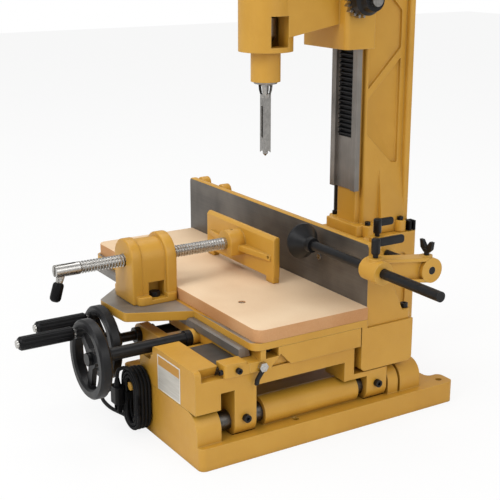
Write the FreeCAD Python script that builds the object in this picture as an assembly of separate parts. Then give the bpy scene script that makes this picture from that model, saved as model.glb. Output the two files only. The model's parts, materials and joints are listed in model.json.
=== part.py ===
"""Bench mortiser with a tilting cross-slide table, one STEP file per piece.

Millimetres, +Z up. The origin is the middle of the base's footprint, on the bench.
The operator stands at -Y. The spindle stands on the plane x = 0.
"""
import FreeCAD, Part
import math
import os

V = FreeCAD.Vector
AXES = {"x": V(1, 0, 0), "y": V(0, 1, 0), "z": V(0, 0, 1)}

# ---- clearances ----
SLIDE_GAP = 0.35            # between sliding or passing surfaces
RUNNING = 0.05              # radial, shaft in bore
BACKLASH = 0.4              # taken off every gear tooth

# ---- base ----
BASE_HALF_X = 244
BASE_HALF_Y = 272
BASE_THICK = 35
BASE_WALL = 12
BASE_SKIN = 8
BASE_CORNER = 10
BASE_REAR = 178             # y, rear edge beside the pedestal
LUG_REAR = 203
LUG_WIDTH = 37
ARM_LEFT = -9               # x, left side of the front arm
ARM_REAR = -120
BENCH_HOLE_R = 5.5
BENCH_X = 226
BENCH_FRONT = -98
BENCH_REAR = 186
TOWER_REAR = -232
PEDESTAL_HALF = 60
PEDESTAL_FRONT = 184
PEDESTAL_NOSE = 148         # y, front of the overhanging top
PEDESTAL_TOP = 239
NOSE_TOP_EDGE = 34          # height of the overhang's upright front
NOSE_SLOPE = 40             # height of the sloped underside
PANEL_DEPTH = 4

# ---- tilt hinge, parallel to Y ----
HINGE_X = 204
HINGE_Z = 52.5
HINGE_SHAFT_R = 15
EAR_R = 25
BARREL_R = 22.5
BARREL = (-152, 20)
EAR_FRONT = (-207, -170)
EAR_MIDDLE = (34, 73)
EAR_REAR = (77, 97)
STOP_BLOCK = (101, 141)
TOWER_TOP_GAP = 0.3
EAR_RELIEF = 1

# ---- cradle ----
CRADLE_LEFT = 54
CRADLE_RIGHT = 229
CRADLE_REAR = 8
CRADLE_BOTTOM = 107.5
CRADLE_TOP = 130
NOSE_BOTTOM = 82
NOSE_TOP = 147
NOSE_REAR = -230
NOSE_STEP_X = 98
TROUGH_HALF = 15.5
TROUGH_FLOOR = 121
V_FOOT = (128, 212)          # x, the Y dovetail at the cradle's deck
V_HEIGHT = 11
V_LEAN = 0.45
NOSE_WALL = 10
SHELF = (75.8, 84)
PLATE_X = (115, 185)
PLATE_Z = (84, 139)
PLATE_THICK = 0.6

# ---- saddle ----
SADDLE_X = (-16, 234)
SADDLE_Y = (-184, 16)
SADDLE_HEIGHT = 30.4
SADDLE_LEDGE = 15.1         # height under the way bar
GIB_FRONT = -226
GIB_WIDTH = 25

# ---- table ----
TABLE_TOP = 172
PLATE_T = 11
BOARD_LEFT = -318
BOARD_RIGHT = 234
BOARD_FRONT = -172
BOARD_THICK = 20
BOARD_CORNER = 15
TABLE_LIP = 6
APRON_Y = (18, 118)
APRON_Z = (88, 158)
APRON_WALL = 12
WING_THICK = 15
WAY_Y = (-188, -168)
WAY_BOTTOM = 146
WAY_X = (-311, 209)

# ---- table rack and pinion ----
RACK_MODULE = 1.5
RACK_TEETH = 16
RACK_Y = (-155, -137)
RACK_X = (-300, 218)
X_SHAFT_X = 76.4
X_SHAFT_Z = 137
X_TUBE_R = 10
X_JOURNAL_R = 6

# ---- Y screw ----
Y_SCREW_X = -43
Y_SCREW_Z = 109.8
Y_SCREW_R = 8
ARM_Y = (-225, -207)
NUT_Y = (-150, -126)

# ---- handwheels ----
WHEEL_R = 60
RIM_WIDTH = 15
RIM_DEPTH = 18
WHEEL_HUB_R = 15
WHEEL_HUB_DEPTH = 30
SPOKES = 3
X_WHEEL_FACE = -371.3
Y_WHEEL_FACE = -300.2
GRIP_PITCH = 47
GRIP_R = 10.5
GRIP_LENGTH = 84
GRIP_FLUTES = 12
SPINDLE_R = 4
X_GRIP_ANGLE = 222
Y_GRIP_ANGLE = 222

# ---- fence ----
FENCE_Y = 28
FENCE_T = 11
FENCE_X = (-324, 231)
FENCE_TOP = 291
FENCE_FOOT_T = 16
FENCE_FOOT_REAR = 117
GUSSET_W = 22
GUSSET_REAR = 98
GUSSETS = (-313, -125, 209)

# ---- end stop ----
PIN_Y = 94
PIN_Z = 257
PIN_R = 6
PIN_X = (146, 300)
BRACKET_X = (144, 194)
STOP_ROD_Y = -8
STOP_ROD_Z = 272
STOP_ROD_R = 7.5
STOP_ROD_X = (104, 433)
STOP_CUP_R = 28.5
STOP_BOSS_X = (275, 312)
STOP_BOSS_R = 17
ARM_BOSS_X = (272, 300)
ARM_BOSS_R = 19
LOWER_LEVER_X = 292
UPPER_LEVER_X = 168
THUMB_X = 286

# ---- vise ----
VISE_X = -43.5
VISE_Z = 240
VISE_SCREW_R = 10
VISE_Y = (-249, -172.4)
VISE_HALF = 33
VISE_ARCH_R = 38
VISE_FLANGE = 18
SCREW_FRONT = -365
JAW_X = (-151.5, 64.5)
JAW_Y = (-33.6, -21.7)
JAW_Z = (194, 270)
JAW_BOSS = 28

# ---- column ----
COLUMN_FOOT_T = 20
COLUMN_HALF = 34
COLUMN_TOP = 790
NECK_HALF = 25
NECK_Y = (158, 168)
COLUMN_REAR = 256
FLANGE_HALF = 44
FLANGE_T = 12
WAY_HALF = 35
WAY_FRONT = 148
WAY_LOW = 318
SLOT_HALF = 23
SLOT_DEPTH = 6
LIFT_MODULE = 2.5
LIFT_TEETH = 24
LIFT_RACK_HALF = 20
LIFT_RACK_TIP = 152
LIFT_RACK_Z = (407, 770)
LIFT_RACK_BACK = 166

# ---- head ----
HEAD_Z = (560, 740)
HEAD_HALF = 62
HEAD_REAR = 166
HEAD_FRONT = 104
SPINDLE_Y = -9
HOUSING_R = 44
MOTOR_R = 70
MOTOR_TOP = 905
CHISEL = 12.7
CHISEL_TIP = 397
CHISEL_NECK = 482
CHISEL_DISC = 510
BIT_R = 4.3
LIFT_AXIS_Z = 640
FEED_SHAFT_R = 10
LEVER_LENGTH = 290
LEVER_ANGLE = 75
SWITCH_Y = (106, 138)
SWITCH_Z = (662, 734)
SWITCH_RECESS = 9

# ---- gas spring ----
GAS_X = -68
GAS_Y = 196
GAS_R = 11
GAS_ROD_R = 5
GAS_TOP = 505

# ---- cord ----
CORD_R = 3
HANK_X = 65
HANK_R = 30
HANK_EYE = 7
HANK_Y = (-297, -272.4)
HANK_LOW = 32
HANK_HIGH = 74


# ================= shared shapes =================

def place(axis, along, a, b):
    """A point from its place along an axis and its two other coordinates, in X, Y, Z order."""
    return {"x": V(along, a, b), "y": V(a, along, b), "z": V(a, b, along)}[axis]


def block(x, y, z):
    """A box from its three (low, high) spans."""
    return Part.makeBox(x[1] - x[0], y[1] - y[0], z[1] - z[0], V(x[0], y[0], z[0]))


def bar(axis, a, b, r, span):
    """A round bar parallel to an axis."""
    return Part.makeCylinder(r, span[1] - span[0], place(axis, span[0], a, b), AXES[axis])


def cone(axis, a, b, r0, r1, span):
    """A tapered round bar parallel to an axis."""
    return Part.makeCone(r0, r1, span[1] - span[0], place(axis, span[0], a, b), AXES[axis])


def prism(axis, points, span):
    """A straight prism along an axis. The outline is in the two other axes, in X, Y, Z order."""
    ring = [place(axis, span[0], p[0], p[1]) for p in points]
    face = Part.Face(Part.makePolygon(ring + ring[:1]))
    return face.extrude(AXES[axis] * (span[1] - span[0]))


def turned(axis, a, b, profile):
    """A turned piece. The profile lists (place along the axis, radius) pairs."""
    side = {"x": (1, 0), "y": (1, 0), "z": (1, 0)}[axis]
    ring = [place(axis, s, a + side[0] * r, b + side[1] * r) for s, r in profile]
    face = Part.Face(Part.makePolygon(ring + ring[:1]))
    return face.revolve(place(axis, 0, a, b), AXES[axis], 360)


def turn(shape, axis, a, b, degrees):
    """A turned copy of the shape, about an axis through (a, b)."""
    copy = shape.copy()
    copy.rotate(place(axis, 0, a, b), AXES[axis], degrees)
    return copy


def join(*pieces):
    """One solid from touching or crossing pieces."""
    return pieces[0].multiFuse(list(pieces[1:])).removeSplitter()


def rounded(shape, radius, axis, test=lambda p: True):
    """Rounds the straight edges along an axis whose middle passes the test."""
    picked = []
    for edge in shape.Edges:
        straight = edge.Curve.TypeId == "Part::GeomLine"
        if straight and abs(edge.tangentAt(edge.FirstParameter).dot(AXES[axis])) > 0.999:
            if test(edge.CenterOfMass):
                picked.append(edge)
    return shape.makeFillet(radius, picked)


def arch(axis, a, top, r, foot, span):
    """A plate with a half-round top of radius r about (a, top), standing down to foot."""
    half = r
    legs = [(a - half, foot), (a + half, foot), (a + half, top), (a - half, top)]
    return join(prism(axis, legs, span), bar(axis, a, top, r, span))


def stadium(axis, a, low, high, r, span):
    """A plate with round ends about (a, low) and (a, high)."""
    sides = [(a - r, low), (a + r, low), (a + r, high), (a - r, high)]
    return join(prism(axis, sides, span), bar(axis, a, low, r, span), bar(axis, a, high, r, span))


def mid(span):
    return (span[0] + span[1]) / 2


def grown(span, extra):
    """The span made longer by extra at both ends."""
    return (span[0] - extra, span[1] + extra)


def save(name, shape):
    shape.exportStep("parts/" + name + ".step")


# ================= gear teeth =================

def involute(angle):
    return math.tan(angle) - angle


def tooth_half_angle(radius, pitch_r, module):
    """Half the angle that a tooth covers at a radius, for a 20 degree involute."""
    pressure = math.radians(20)
    base_r = pitch_r * math.cos(pressure)
    at_radius = math.acos(min(1, base_r / radius))
    thickness = math.pi * module / 2 - BACKLASH
    return thickness / 2 / pitch_r + involute(pressure) - involute(at_radius)


def gear(axis, a, b, module, teeth, span, phase):
    """A spur gear. phase is the angle of one tooth's middle, from the first other axis."""
    pitch_r = module * teeth / 2
    radii = (pitch_r - 1.25 * module, pitch_r, pitch_r + module)
    outline = []
    for tooth in range(teeth):
        middle = math.radians(phase) + 2 * math.pi * tooth / teeth
        flank = [(r, tooth_half_angle(r, pitch_r, module)) for r in radii]
        rising = [(r, middle - half) for r, half in flank]
        falling = [(r, middle + half) for r, half in reversed(flank)]
        for r, angle in rising + falling:
            outline.append((a + r * math.cos(angle), b + r * math.sin(angle)))
    return prism(axis, outline, span)


def rack_outline(start, end, tooth_at, root, back, module):
    """A rack's outline as (place, height) pairs. Teeth grow from root away from back."""
    away = 1 if root > back else -1
    pitch = math.pi * module
    lean = 1.25 * module * math.tan(math.radians(20))
    half = (pitch / 2 - BACKLASH) / 2
    tip_lean = module * math.tan(math.radians(20))
    depth = 2.25 * module
    points = [(start, back), (start, root)]
    first = math.ceil((start - tooth_at + half + lean) / pitch)
    last = math.floor((end - tooth_at - half - lean) / pitch)
    for n in range(first, last + 1):
        centre = tooth_at + n * pitch
        points.append((centre - half - lean, root))
        points.append((centre - half + tip_lean, root + away * depth))
        points.append((centre + half - tip_lean, root + away * depth))
        points.append((centre + half + lean, root))
    return points + [(end, root), (end, back)]


# ================= base =================

TOWER_TOP = NOSE_BOTTOM - TOWER_TOP_GAP
TOWER_END_R = TOWER_TOP - HINGE_Z


def base_plate():
    h, lug = BASE_HALF_X, BASE_HALF_X - LUG_WIDTH
    p = PEDESTAL_HALF
    right = [(ARM_LEFT, -BASE_HALF_Y), (h, -BASE_HALF_Y), (h, LUG_REAR), (lug, LUG_REAR),
             (lug, BASE_REAR), (p, BASE_REAR), (p, BASE_HALF_Y)]
    left = [(-p, BASE_HALF_Y), (-p, BASE_REAR), (-lug, BASE_REAR), (-lug, LUG_REAR),
            (-h, LUG_REAR), (-h, ARM_REAR), (ARM_LEFT, ARM_REAR)]
    plate = rounded(prism("z", right + left, (0, BASE_THICK)), BASE_CORNER, "z")
    core = (0, BASE_THICK - BASE_SKIN)
    side = BASE_HALF_X - LUG_WIDTH
    bays = [block((s * side + (BASE_WALL if s < 0 else -side + PEDESTAL_HALF + BASE_WALL),
                   -PEDESTAL_HALF - BASE_WALL if s < 0 else side - BASE_WALL),
                  (ARM_REAR + BASE_WALL, BASE_REAR - BASE_WALL), core) for s in (-1, 1)]
    middle = block((-PEDESTAL_HALF, PEDESTAL_HALF),
                   (ARM_REAR + BASE_WALL, BASE_REAR - BASE_WALL), core)
    arm = block((ARM_LEFT + BASE_WALL, HINGE_X - EAR_R - BASE_WALL),
                (-BASE_HALF_Y + BASE_WALL, ARM_REAR - BASE_WALL), core)
    return plate.cut(bays + [middle, arm])


def tower():
    """The upright front wall that the cradle rests on, ending round the hinge."""
    wall = (-BASE_HALF_Y, TOWER_REAR)
    body = block((ARM_LEFT, HINGE_X), wall, (0, TOWER_TOP))
    end = bar("y", HINGE_X, HINGE_Z, TOWER_END_R, wall)
    end_foot = block((HINGE_X, HINGE_X + TOWER_END_R), wall, (0, HINGE_Z))
    side = block((ARM_LEFT, ARM_LEFT + BASE_WALL), (TOWER_REAR, ARM_REAR - 5),
                 (BASE_SKIN, TOWER_TOP))
    back = block((ARM_LEFT, HINGE_X - EAR_R - BASE_WALL * 2), (ARM_REAR - 5 - BASE_WALL, ARM_REAR - 5),
                 (BASE_SKIN, TOWER_TOP))
    body = rounded(join(body, end, end_foot), BASE_CORNER, "z", lambda p: p.x < 0 and p.y < TOWER_REAR - 1)
    return join(body, side, back)


def pedestal():
    """The casting that carries the column, with its top overhanging to the front."""
    low_nose = PEDESTAL_TOP - NOSE_TOP_EDGE
    profile = [(PEDESTAL_FRONT, 0), (PEDESTAL_FRONT, low_nose - NOSE_SLOPE),
               (PEDESTAL_NOSE, low_nose), (PEDESTAL_NOSE, PEDESTAL_TOP),
               (BASE_HALF_Y, PEDESTAL_TOP), (BASE_HALF_Y, 0)]
    body = prism("x", profile, (-PEDESTAL_HALF, PEDESTAL_HALF))
    body = rounded(body, BASE_CORNER, "z", lambda p: p.y > PEDESTAL_FRONT + 1)
    body = rounded(body, BASE_CORNER, "x", lambda p: p.y < PEDESTAL_FRONT + 1 and p.z > BASE_THICK
                   and p.z < PEDESTAL_TOP - 1)
    panel_y = (PEDESTAL_FRONT + 2 * BASE_WALL, BASE_HALF_Y - 2 * BASE_WALL)
    panel_z = (BASE_THICK + 2 * BASE_WALL, PEDESTAL_TOP - 3 * BASE_WALL)
    for side in (-1, 1):
        face = side * PEDESTAL_HALF
        panel = block(sorted((face, face - side * PANEL_DEPTH)), panel_y, panel_z)
        body = body.cut(rounded(panel, BASE_CORNER, "x"))
    ribs = []
    for x in (-BASE_WALL * 3, BASE_WALL * 2):
        rib = [(BASE_REAR - 35, BASE_THICK - 1), (PEDESTAL_FRONT + 1, BASE_THICK - 1),
               (PEDESTAL_FRONT + 1, TOWER_TOP)]
        ribs.append(prism("x", rib, (x, x + BASE_WALL)))
    gas_seat = block((GAS_X - GAS_R, -PEDESTAL_HALF + 1), (GAS_Y - GAS_R, GAS_Y + GAS_R),
                     (PEDESTAL_TOP - 24, PEDESTAL_TOP))
    gas_seat = rounded(gas_seat, GAS_R * 0.9, "z", lambda p: p.x < -PEDESTAL_HALF)
    return join(body, *ribs, gas_seat)


def hinge_barrel():
    stand = (BASE_THICK - 1, HINGE_Z)
    barrel = bar("y", HINGE_X, HINGE_Z, BARREL_R, BARREL)
    barrel_rib = block((HINGE_X - 14, HINGE_X + 14), BARREL, stand)
    ear = bar("y", HINGE_X, HINGE_Z, EAR_R, EAR_REAR)
    ear_foot = block((HINGE_X - EAR_R, HINGE_X + EAR_R), EAR_REAR, stand)
    stop = bar("y", HINGE_X, HINGE_Z, EAR_R + 1, STOP_BLOCK)
    stop_foot = block((HINGE_X - EAR_R - 1, HINGE_X + EAR_R + 1), STOP_BLOCK, stand)
    return [barrel, barrel_rib, ear, ear_foot, stop, stop_foot]


def cord_peg():
    """The round peg that the power cord hangs on."""
    stem = bar("y", HANK_X, HANK_HIGH, HANK_EYE - SLIDE_GAP, (HANK_Y[0] + 1, -BASE_HALF_Y))
    return stem


def base_casting():
    body = join(base_plate(), tower(), pedestal(), *hinge_barrel(), cord_peg())
    relief_r = EAR_R + EAR_RELIEF
    for ear in (EAR_FRONT, EAR_MIDDLE):
        body = body.cut(bar("y", HINGE_X, HINGE_Z, relief_r, grown(ear, 2)))
    bore = bar("y", HINGE_X, HINGE_Z, HINGE_SHAFT_R + RUNNING, (TOWER_REAR - BASE_WALL, EAR_REAR[1] + 1))
    holes = []
    for x in (-BENCH_X, BENCH_X):
        for y in (BENCH_FRONT, BENCH_REAR):
            holes.append(bar("z", x, y, BENCH_HOLE_R, (-1, BASE_THICK + 1)))
    return body.cut([bore] + holes)


def hinge_shaft():
    return bar("y", HINGE_X, HINGE_Z, HINGE_SHAFT_R, (TOWER_REAR - BASE_WALL + 1, EAR_REAR[1]))


def rest_screws():
    """Two jack screws in the tower's top that the cradle's left end rests over."""
    seat = CRADLE_BOTTOM - SLIDE_GAP
    screws = []
    for y in (TOWER_REAR + 40, TOWER_REAR + 80):
        screws.append(bar("z", CRADLE_LEFT + 14, y, 5, (TOWER_TOP, seat)))
    return screws


# ================= column =================

FOOT_TOP = PEDESTAL_TOP + COLUMN_FOOT_T


def column():
    body_z = (PEDESTAL_TOP, COLUMN_TOP)
    box = block((-COLUMN_HALF, COLUMN_HALF), (NECK_Y[1], COLUMN_REAR), body_z)
    neck = block((-NECK_HALF, NECK_HALF), (NECK_Y[0], NECK_Y[1] + 1), body_z)
    flange = block((-FLANGE_HALF, FLANGE_HALF), (COLUMN_REAR - FLANGE_T / 2, COLUMN_REAR + FLANGE_T / 2),
                   body_z)
    foot = block((-FLANGE_HALF, FLANGE_HALF), (WAY_FRONT, COLUMN_REAR + FLANGE_T / 2),
                 (PEDESTAL_TOP, FOOT_TOP))
    bosses = [bar("z", x, y, 10, (PEDESTAL_TOP, FOOT_TOP)) for x, y in column_bolt_places()]
    body = join(box, neck, flange, foot, *bosses)
    panel_y = (NECK_Y[1] + BASE_WALL, COLUMN_REAR - FLANGE_T / 2 - BASE_WALL / 2)
    for side in (-1, 1):
        for low, high in column_panels():
            outer = side * (COLUMN_HALF + 1)
            inner = side * (COLUMN_HALF - 2 * PANEL_DEPTH)
            lean = high - low
            cell = [(panel_y[0], low), (panel_y[1], low + lean * 0.35), (panel_y[1], high),
                    (panel_y[0], high - lean * 0.35)]
            body = body.cut(prism("x", cell, sorted((inner, outer))))
    pocket = block((-LIFT_RACK_HALF, LIFT_RACK_HALF), (NECK_Y[0] - 1, LIFT_RACK_BACK), LIFT_RACK_Z)
    return body.cut(pocket)


def column_panels():
    """The heights of the recesses between the diagonal ribs."""
    count = 4
    low = FOOT_TOP + BASE_WALL
    step = (COLUMN_TOP - BASE_WALL - low) / count
    return [(low + n * step, low + (n + 1) * step - BASE_WALL / 2) for n in range(count)]


def column_bolt_places():
    return [(x, y) for x in (-FLANGE_HALF - 3, FLANGE_HALF + 3) for y in (GAS_Y - 26, COLUMN_REAR - 14)]


def column_bolts():
    return [socket_screw("z", x, y, 5, FOOT_TOP, 1) for x, y in column_bolt_places()]


def socket_screw(axis, a, b, r, seat, way):
    """A socket head cap screw's head, standing on its seat, way +1 or -1 along the axis."""
    span = sorted((seat, seat + way * r * 1.2))
    socket = sorted((seat + way * r * 0.5, seat + way * r * 1.3))
    return bar(axis, a, b, r, span).cut(hexagon(axis, a, b, r * 0.55, socket))


def hexagon(axis, a, b, r, span):
    corners = [math.radians(60 * n) for n in range(6)]
    return prism(axis, [(a + r * math.cos(t), b + r * math.sin(t)) for t in corners], span)


def column_way():
    """The ground steel way with its two wings and the slot for the lift rack."""
    plate = block((-WAY_HALF, WAY_HALF), (WAY_FRONT, NECK_Y[0]), (WAY_LOW, COLUMN_TOP - 10))
    slot = block((-SLOT_HALF, SLOT_HALF), (WAY_FRONT - 1, WAY_FRONT + SLOT_DEPTH),
                 (WAY_LOW - 1, COLUMN_TOP))
    window = block((-LIFT_RACK_HALF, LIFT_RACK_HALF), (WAY_FRONT, NECK_Y[0] + 1), LIFT_RACK_Z)
    return plate.cut([slot, window])


def lift_rack():
    root = LIFT_RACK_TIP + 2.25 * LIFT_MODULE
    outline = rack_outline(LIFT_RACK_Z[0], LIFT_RACK_Z[1], LIFT_AXIS_Z, root, LIFT_RACK_BACK, LIFT_MODULE)
    points = [(height, place_z) for place_z, height in outline]
    return prism("x", points, (-LIFT_RACK_HALF, LIFT_RACK_HALF))


def key_clip():
    """A bent wire clip on the pedestal's side that holds the hex keys."""
    x = (PEDESTAL_HALF, PEDESTAL_HALF + 6)
    outer = stadium("y", mid(x) + 5, PEDESTAL_TOP - 30, PEDESTAL_TOP - 12, 8, (COLUMN_REAR - 12, COLUMN_REAR - 4))
    inner = stadium("y", mid(x) + 5, PEDESTAL_TOP - 30, PEDESTAL_TOP - 12, 5, (COLUMN_REAR - 13, COLUMN_REAR))
    return outer.cut(inner).cut(block((0, PEDESTAL_HALF), (0, BASE_HALF_Y), (0, PEDESTAL_TOP)))


def gas_cylinder():
    tube = bar("z", GAS_X, GAS_Y, GAS_R, (PEDESTAL_TOP, GAS_TOP))
    bore = bar("z", GAS_X, GAS_Y, GAS_ROD_R + RUNNING, (PEDESTAL_TOP + 20, GAS_TOP + 1))
    return tube.cut(bore)


# ================= cord =================

def cord_hank():
    outer = stadium("y", HANK_X, HANK_LOW, HANK_HIGH, HANK_R, HANK_Y)
    eye = stadium("y", HANK_X, HANK_LOW, HANK_HIGH, HANK_EYE, grown(HANK_Y, 1))
    return outer.cut(eye)


GLAND_Y = -244
GLAND_Z = 26
CORD_ROUTE = [V(-21, GLAND_Y, GLAND_Z), V(-64, GLAND_Y, 22), V(-66, -291, 9), V(-18, -295, 6.5), V(16, -290, 9),
              V(46, -287, 12)]


def cord_tube(points, r):
    """A tube of straight runs joined by tangent arcs. The arcs' radii are printed."""
    edges = []
    start = points[0]
    for before, corner, after in zip(points, points[1:], points[2:]):
        into = (before - corner).normalize()
        out = (after - corner).normalize()
        half_turn = (math.pi - into.getAngle(out)) / 2
        reach = 0.45 * min((before - corner).Length, (after - corner).Length)
        radius = reach / math.tan(half_turn)
        print("cord bend radius", round(radius, 1))
        arc_start = corner + into * reach
        arc_end = corner + out * reach
        middle = (into + out).normalize()
        bulge = corner + middle * (radius / math.cos(half_turn) - radius)
        edges.append(Part.LineSegment(start, arc_start).toShape())
        edges.append(Part.Arc(arc_start, bulge, arc_end).toShape())
        start = arc_end
    edges.append(Part.LineSegment(start, points[-1]).toShape())
    path = Part.Wire(edges)
    ring = Part.Wire(Part.Circle(points[0], points[1] - points[0], r).toShape())
    tube = path.makePipeShell([ring], True, False)
    print("cord lead length", round(path.Length, 1), "volume ratio",
          round(tube.Volume / (path.Length * math.pi * r * r), 4))
    return tube


def cord_lead():
    return cord_tube(CORD_ROUTE, CORD_R)


def cord_gland():
    """The nut and boot that the cord leaves the tower by."""
    nut = turn(hexagon("x", GLAND_Y, GLAND_Z, 11, (ARM_LEFT - 5, ARM_LEFT)), "x", GLAND_Y, GLAND_Z, 15)
    boot = cone("x", GLAND_Y, GLAND_Z, CORD_R + 1.5, 7, (ARM_LEFT - 12, ARM_LEFT - 4))
    return join(nut, boot)


def plug():
    """A moulded mains plug on the front of the hank, its blades down."""
    x, y, z = 40, HANK_Y[0] - 8, (40, 68)
    body = block((x - 12, x + 12), (y - 8, y + 8), z)
    body = rounded(body, 5, "z")
    boot = cone("z", x, y, 6, CORD_R + 0.5, (z[1] - 1, z[1] + 12))
    blades = [block((x + s * 6 - 0.8, x + s * 6 + 0.8), (y - 3, y + 3), (z[0] - 15, z[0] + 1)) for s in (-1, 1)]
    earth = bar("z", x, y + 5.2, 2, (z[0] - 17, z[0] + 1))
    return join(body, boot, earth, *blades)


# ================= cradle =================

def dovetail(gap):
    """The Y dovetail's section, grown by gap on the top and both flanks."""
    low = CRADLE_TOP
    high = CRADLE_TOP + V_HEIGHT + gap
    side = gap * math.hypot(1, V_LEAN)
    flare = side + V_LEAN * (high - low)
    return [(V_FOOT[0] - side, low), (V_FOOT[0] - flare, high), (V_FOOT[1] + flare, high), (V_FOOT[1] + side, low)]


def cradle():
    x = (CRADLE_LEFT, CRADLE_RIGHT)
    front = -BASE_HALF_Y
    body = block(x, (front, CRADLE_REAR), (CRADLE_BOTTOM, CRADLE_TOP))
    nose = block(x, (front, NOSE_REAR), (NOSE_BOTTOM, CRADLE_TOP))
    brow = block((NOSE_STEP_X, CRADLE_RIGHT), (front, NOSE_REAR), (CRADLE_TOP - 1, NOSE_TOP))
    body = join(body, nose, brow)
    body = rounded(body, 8, "y", lambda p: p.z > NOSE_TOP - 1)
    flank = prism("y", [(V_FOOT[1], CRADLE_TOP), (V_FOOT[1] + V_LEAN * (NOSE_TOP - CRADLE_TOP), NOSE_TOP + 1),
                        (CRADLE_RIGHT + 1, NOSE_TOP + 1), (CRADLE_RIGHT + 1, CRADLE_TOP)],
                  (front + NOSE_WALL, NOSE_REAR + 1))
    body = body.cut(flank)
    way = prism("y", dovetail(0), (NOSE_REAR - 1, CRADLE_REAR))
    trough = block((X_SHAFT_X - TROUGH_HALF, X_SHAFT_X + TROUGH_HALF), (front - 1, CRADLE_REAR + 1),
                   (TROUGH_FLOOR, CRADLE_TOP + 1))
    body = body.cut(rounded(trough, 5, "y", lambda p: p.z < CRADLE_TOP))
    ear_x = (HINGE_X - EAR_R, HINGE_X + EAR_R)
    pieces = [way]
    for ear, top in ((EAR_FRONT, CRADLE_BOTTOM + 1), (EAR_MIDDLE, SHELF[1])):
        pieces.append(bar("y", HINGE_X, HINGE_Z, EAR_R, ear))
        pieces.append(block(ear_x, ear, (HINGE_Z, top)))
    pieces.append(block(ear_x, (CRADLE_REAR - 18, EAR_MIDDLE[1]), SHELF))
    pieces.append(block(ear_x, (CRADLE_REAR - 18, CRADLE_REAR), (SHELF[0], CRADLE_BOTTOM + 1)))
    body = join(body, *pieces, screw_arm(), *cradle_ribs())
    bore = bar("y", HINGE_X, HINGE_Z, HINGE_SHAFT_R + RUNNING, (EAR_FRONT[0] - 1, EAR_MIDDLE[1] + 1))
    screw_bore = bar("y", Y_SCREW_X, Y_SCREW_Z, Y_SCREW_R + RUNNING, grown(ARM_Y, 1))
    return body.cut([bore, screw_bore])


def screw_arm():
    """The arm on the cradle's left that the Y screw turns in."""
    thick = ARM_Y
    r = 18
    eye = bar("y", Y_SCREW_X, Y_SCREW_Z, r, thick)
    web = prism("y", [(Y_SCREW_X, Y_SCREW_Z - r), (CRADLE_LEFT + 1, NOSE_BOTTOM + 12),
                      (CRADLE_LEFT + 1, CRADLE_TOP - 2), (Y_SCREW_X, Y_SCREW_Z + r)], thick)
    return join(eye, web)


def cradle_ribs():
    """Ribs under the deck, from the nose to the rear."""
    ribs = []
    for x in (CRADLE_LEFT, HINGE_X - EAR_R - 20):
        side = [(NOSE_REAR - 1, NOSE_BOTTOM + 6), (EAR_FRONT[0], CRADLE_BOTTOM + 1),
                (NOSE_REAR - 1, CRADLE_BOTTOM + 1)]
        ribs.append(prism("x", side, (x, x + 10)))
    return ribs


def rating_plate():
    return block(PLATE_X, (-BASE_HALF_Y - PLATE_THICK, -BASE_HALF_Y), PLATE_Z)


def tilt_clamps():
    """The clamp screws in the two tilting ears."""
    screws = []
    for ear in (EAR_FRONT, EAR_MIDDLE):
        screws.append(socket_screw("x", mid(ear), HINGE_Z + 8, 6, HINGE_X + EAR_R, 1))
    return screws


# ================= Y feed =================

def handwheel(axis_x, axis_z, face, bore_r, grip_angle):
    """A dished wheel on a Y axis: rim, three tapered spokes, hub behind, a boss for the grip."""
    rim_in = WHEEL_R - RIM_WIDTH
    soft = 3
    rim = turned("y", axis_x, axis_z,
                 [(face, rim_in + soft), (face, WHEEL_R - soft), (face + soft, WHEEL_R),
                  (face + RIM_DEPTH - soft, WHEEL_R), (face + RIM_DEPTH, WHEEL_R - soft),
                  (face + RIM_DEPTH, rim_in + soft), (face + RIM_DEPTH - soft, rim_in),
                  (face + soft, rim_in)])
    hub_front = face + RIM_DEPTH / 2
    hub = cone("y", axis_x, axis_z, WHEEL_HUB_R, WHEEL_HUB_R - 2, (hub_front, hub_front + WHEEL_HUB_DEPTH))
    spokes = []
    spoke_y = (face + RIM_DEPTH / 2, face + RIM_DEPTH - 1)
    for n in range(SPOKES):
        inner, outer = 8, 6
        web = prism("y", [(axis_x, axis_z - inner), (axis_x + rim_in + soft, axis_z - outer),
                          (axis_x + rim_in + soft, axis_z + outer), (axis_x, axis_z + inner)], spoke_y)
        spokes.append(turn(web, "y", axis_x, axis_z, grip_angle + 360 / SPOKES * n))
    gx, gz = grip_centre(axis_x, axis_z, grip_angle)
    boss = bar("y", gx, gz, 9, (face, face + RIM_DEPTH))
    wheel = join(rim, hub, boss, *spokes)
    bore = bar("y", axis_x, axis_z, bore_r, (face - 1, hub_front + WHEEL_HUB_DEPTH + 1))
    seat = bar("y", gx, gz, SPINDLE_R, (face - 1, face + RIM_DEPTH - 4))
    return wheel.cut([bore, seat])


def grip_centre(axis_x, axis_z, angle):
    """Where the grip stands. Angles are counted about +Y from +X towards -Z."""
    t = math.radians(angle)
    return axis_x + GRIP_PITCH * math.cos(t), axis_z - GRIP_PITCH * math.sin(t)


def grip_spindle(axis_x, axis_z, face, angle):
    gx, gz = grip_centre(axis_x, axis_z, angle)
    front = face - GRIP_LENGTH - 4
    collar = bar("y", gx, gz, 7, (face - 3, face))
    pin = bar("y", gx, gz, SPINDLE_R, (front, face + RIM_DEPTH - 4))
    head = bar("y", gx, gz, SPINDLE_R + 2, (front - 3, front))
    return join(collar, pin, head)


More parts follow.
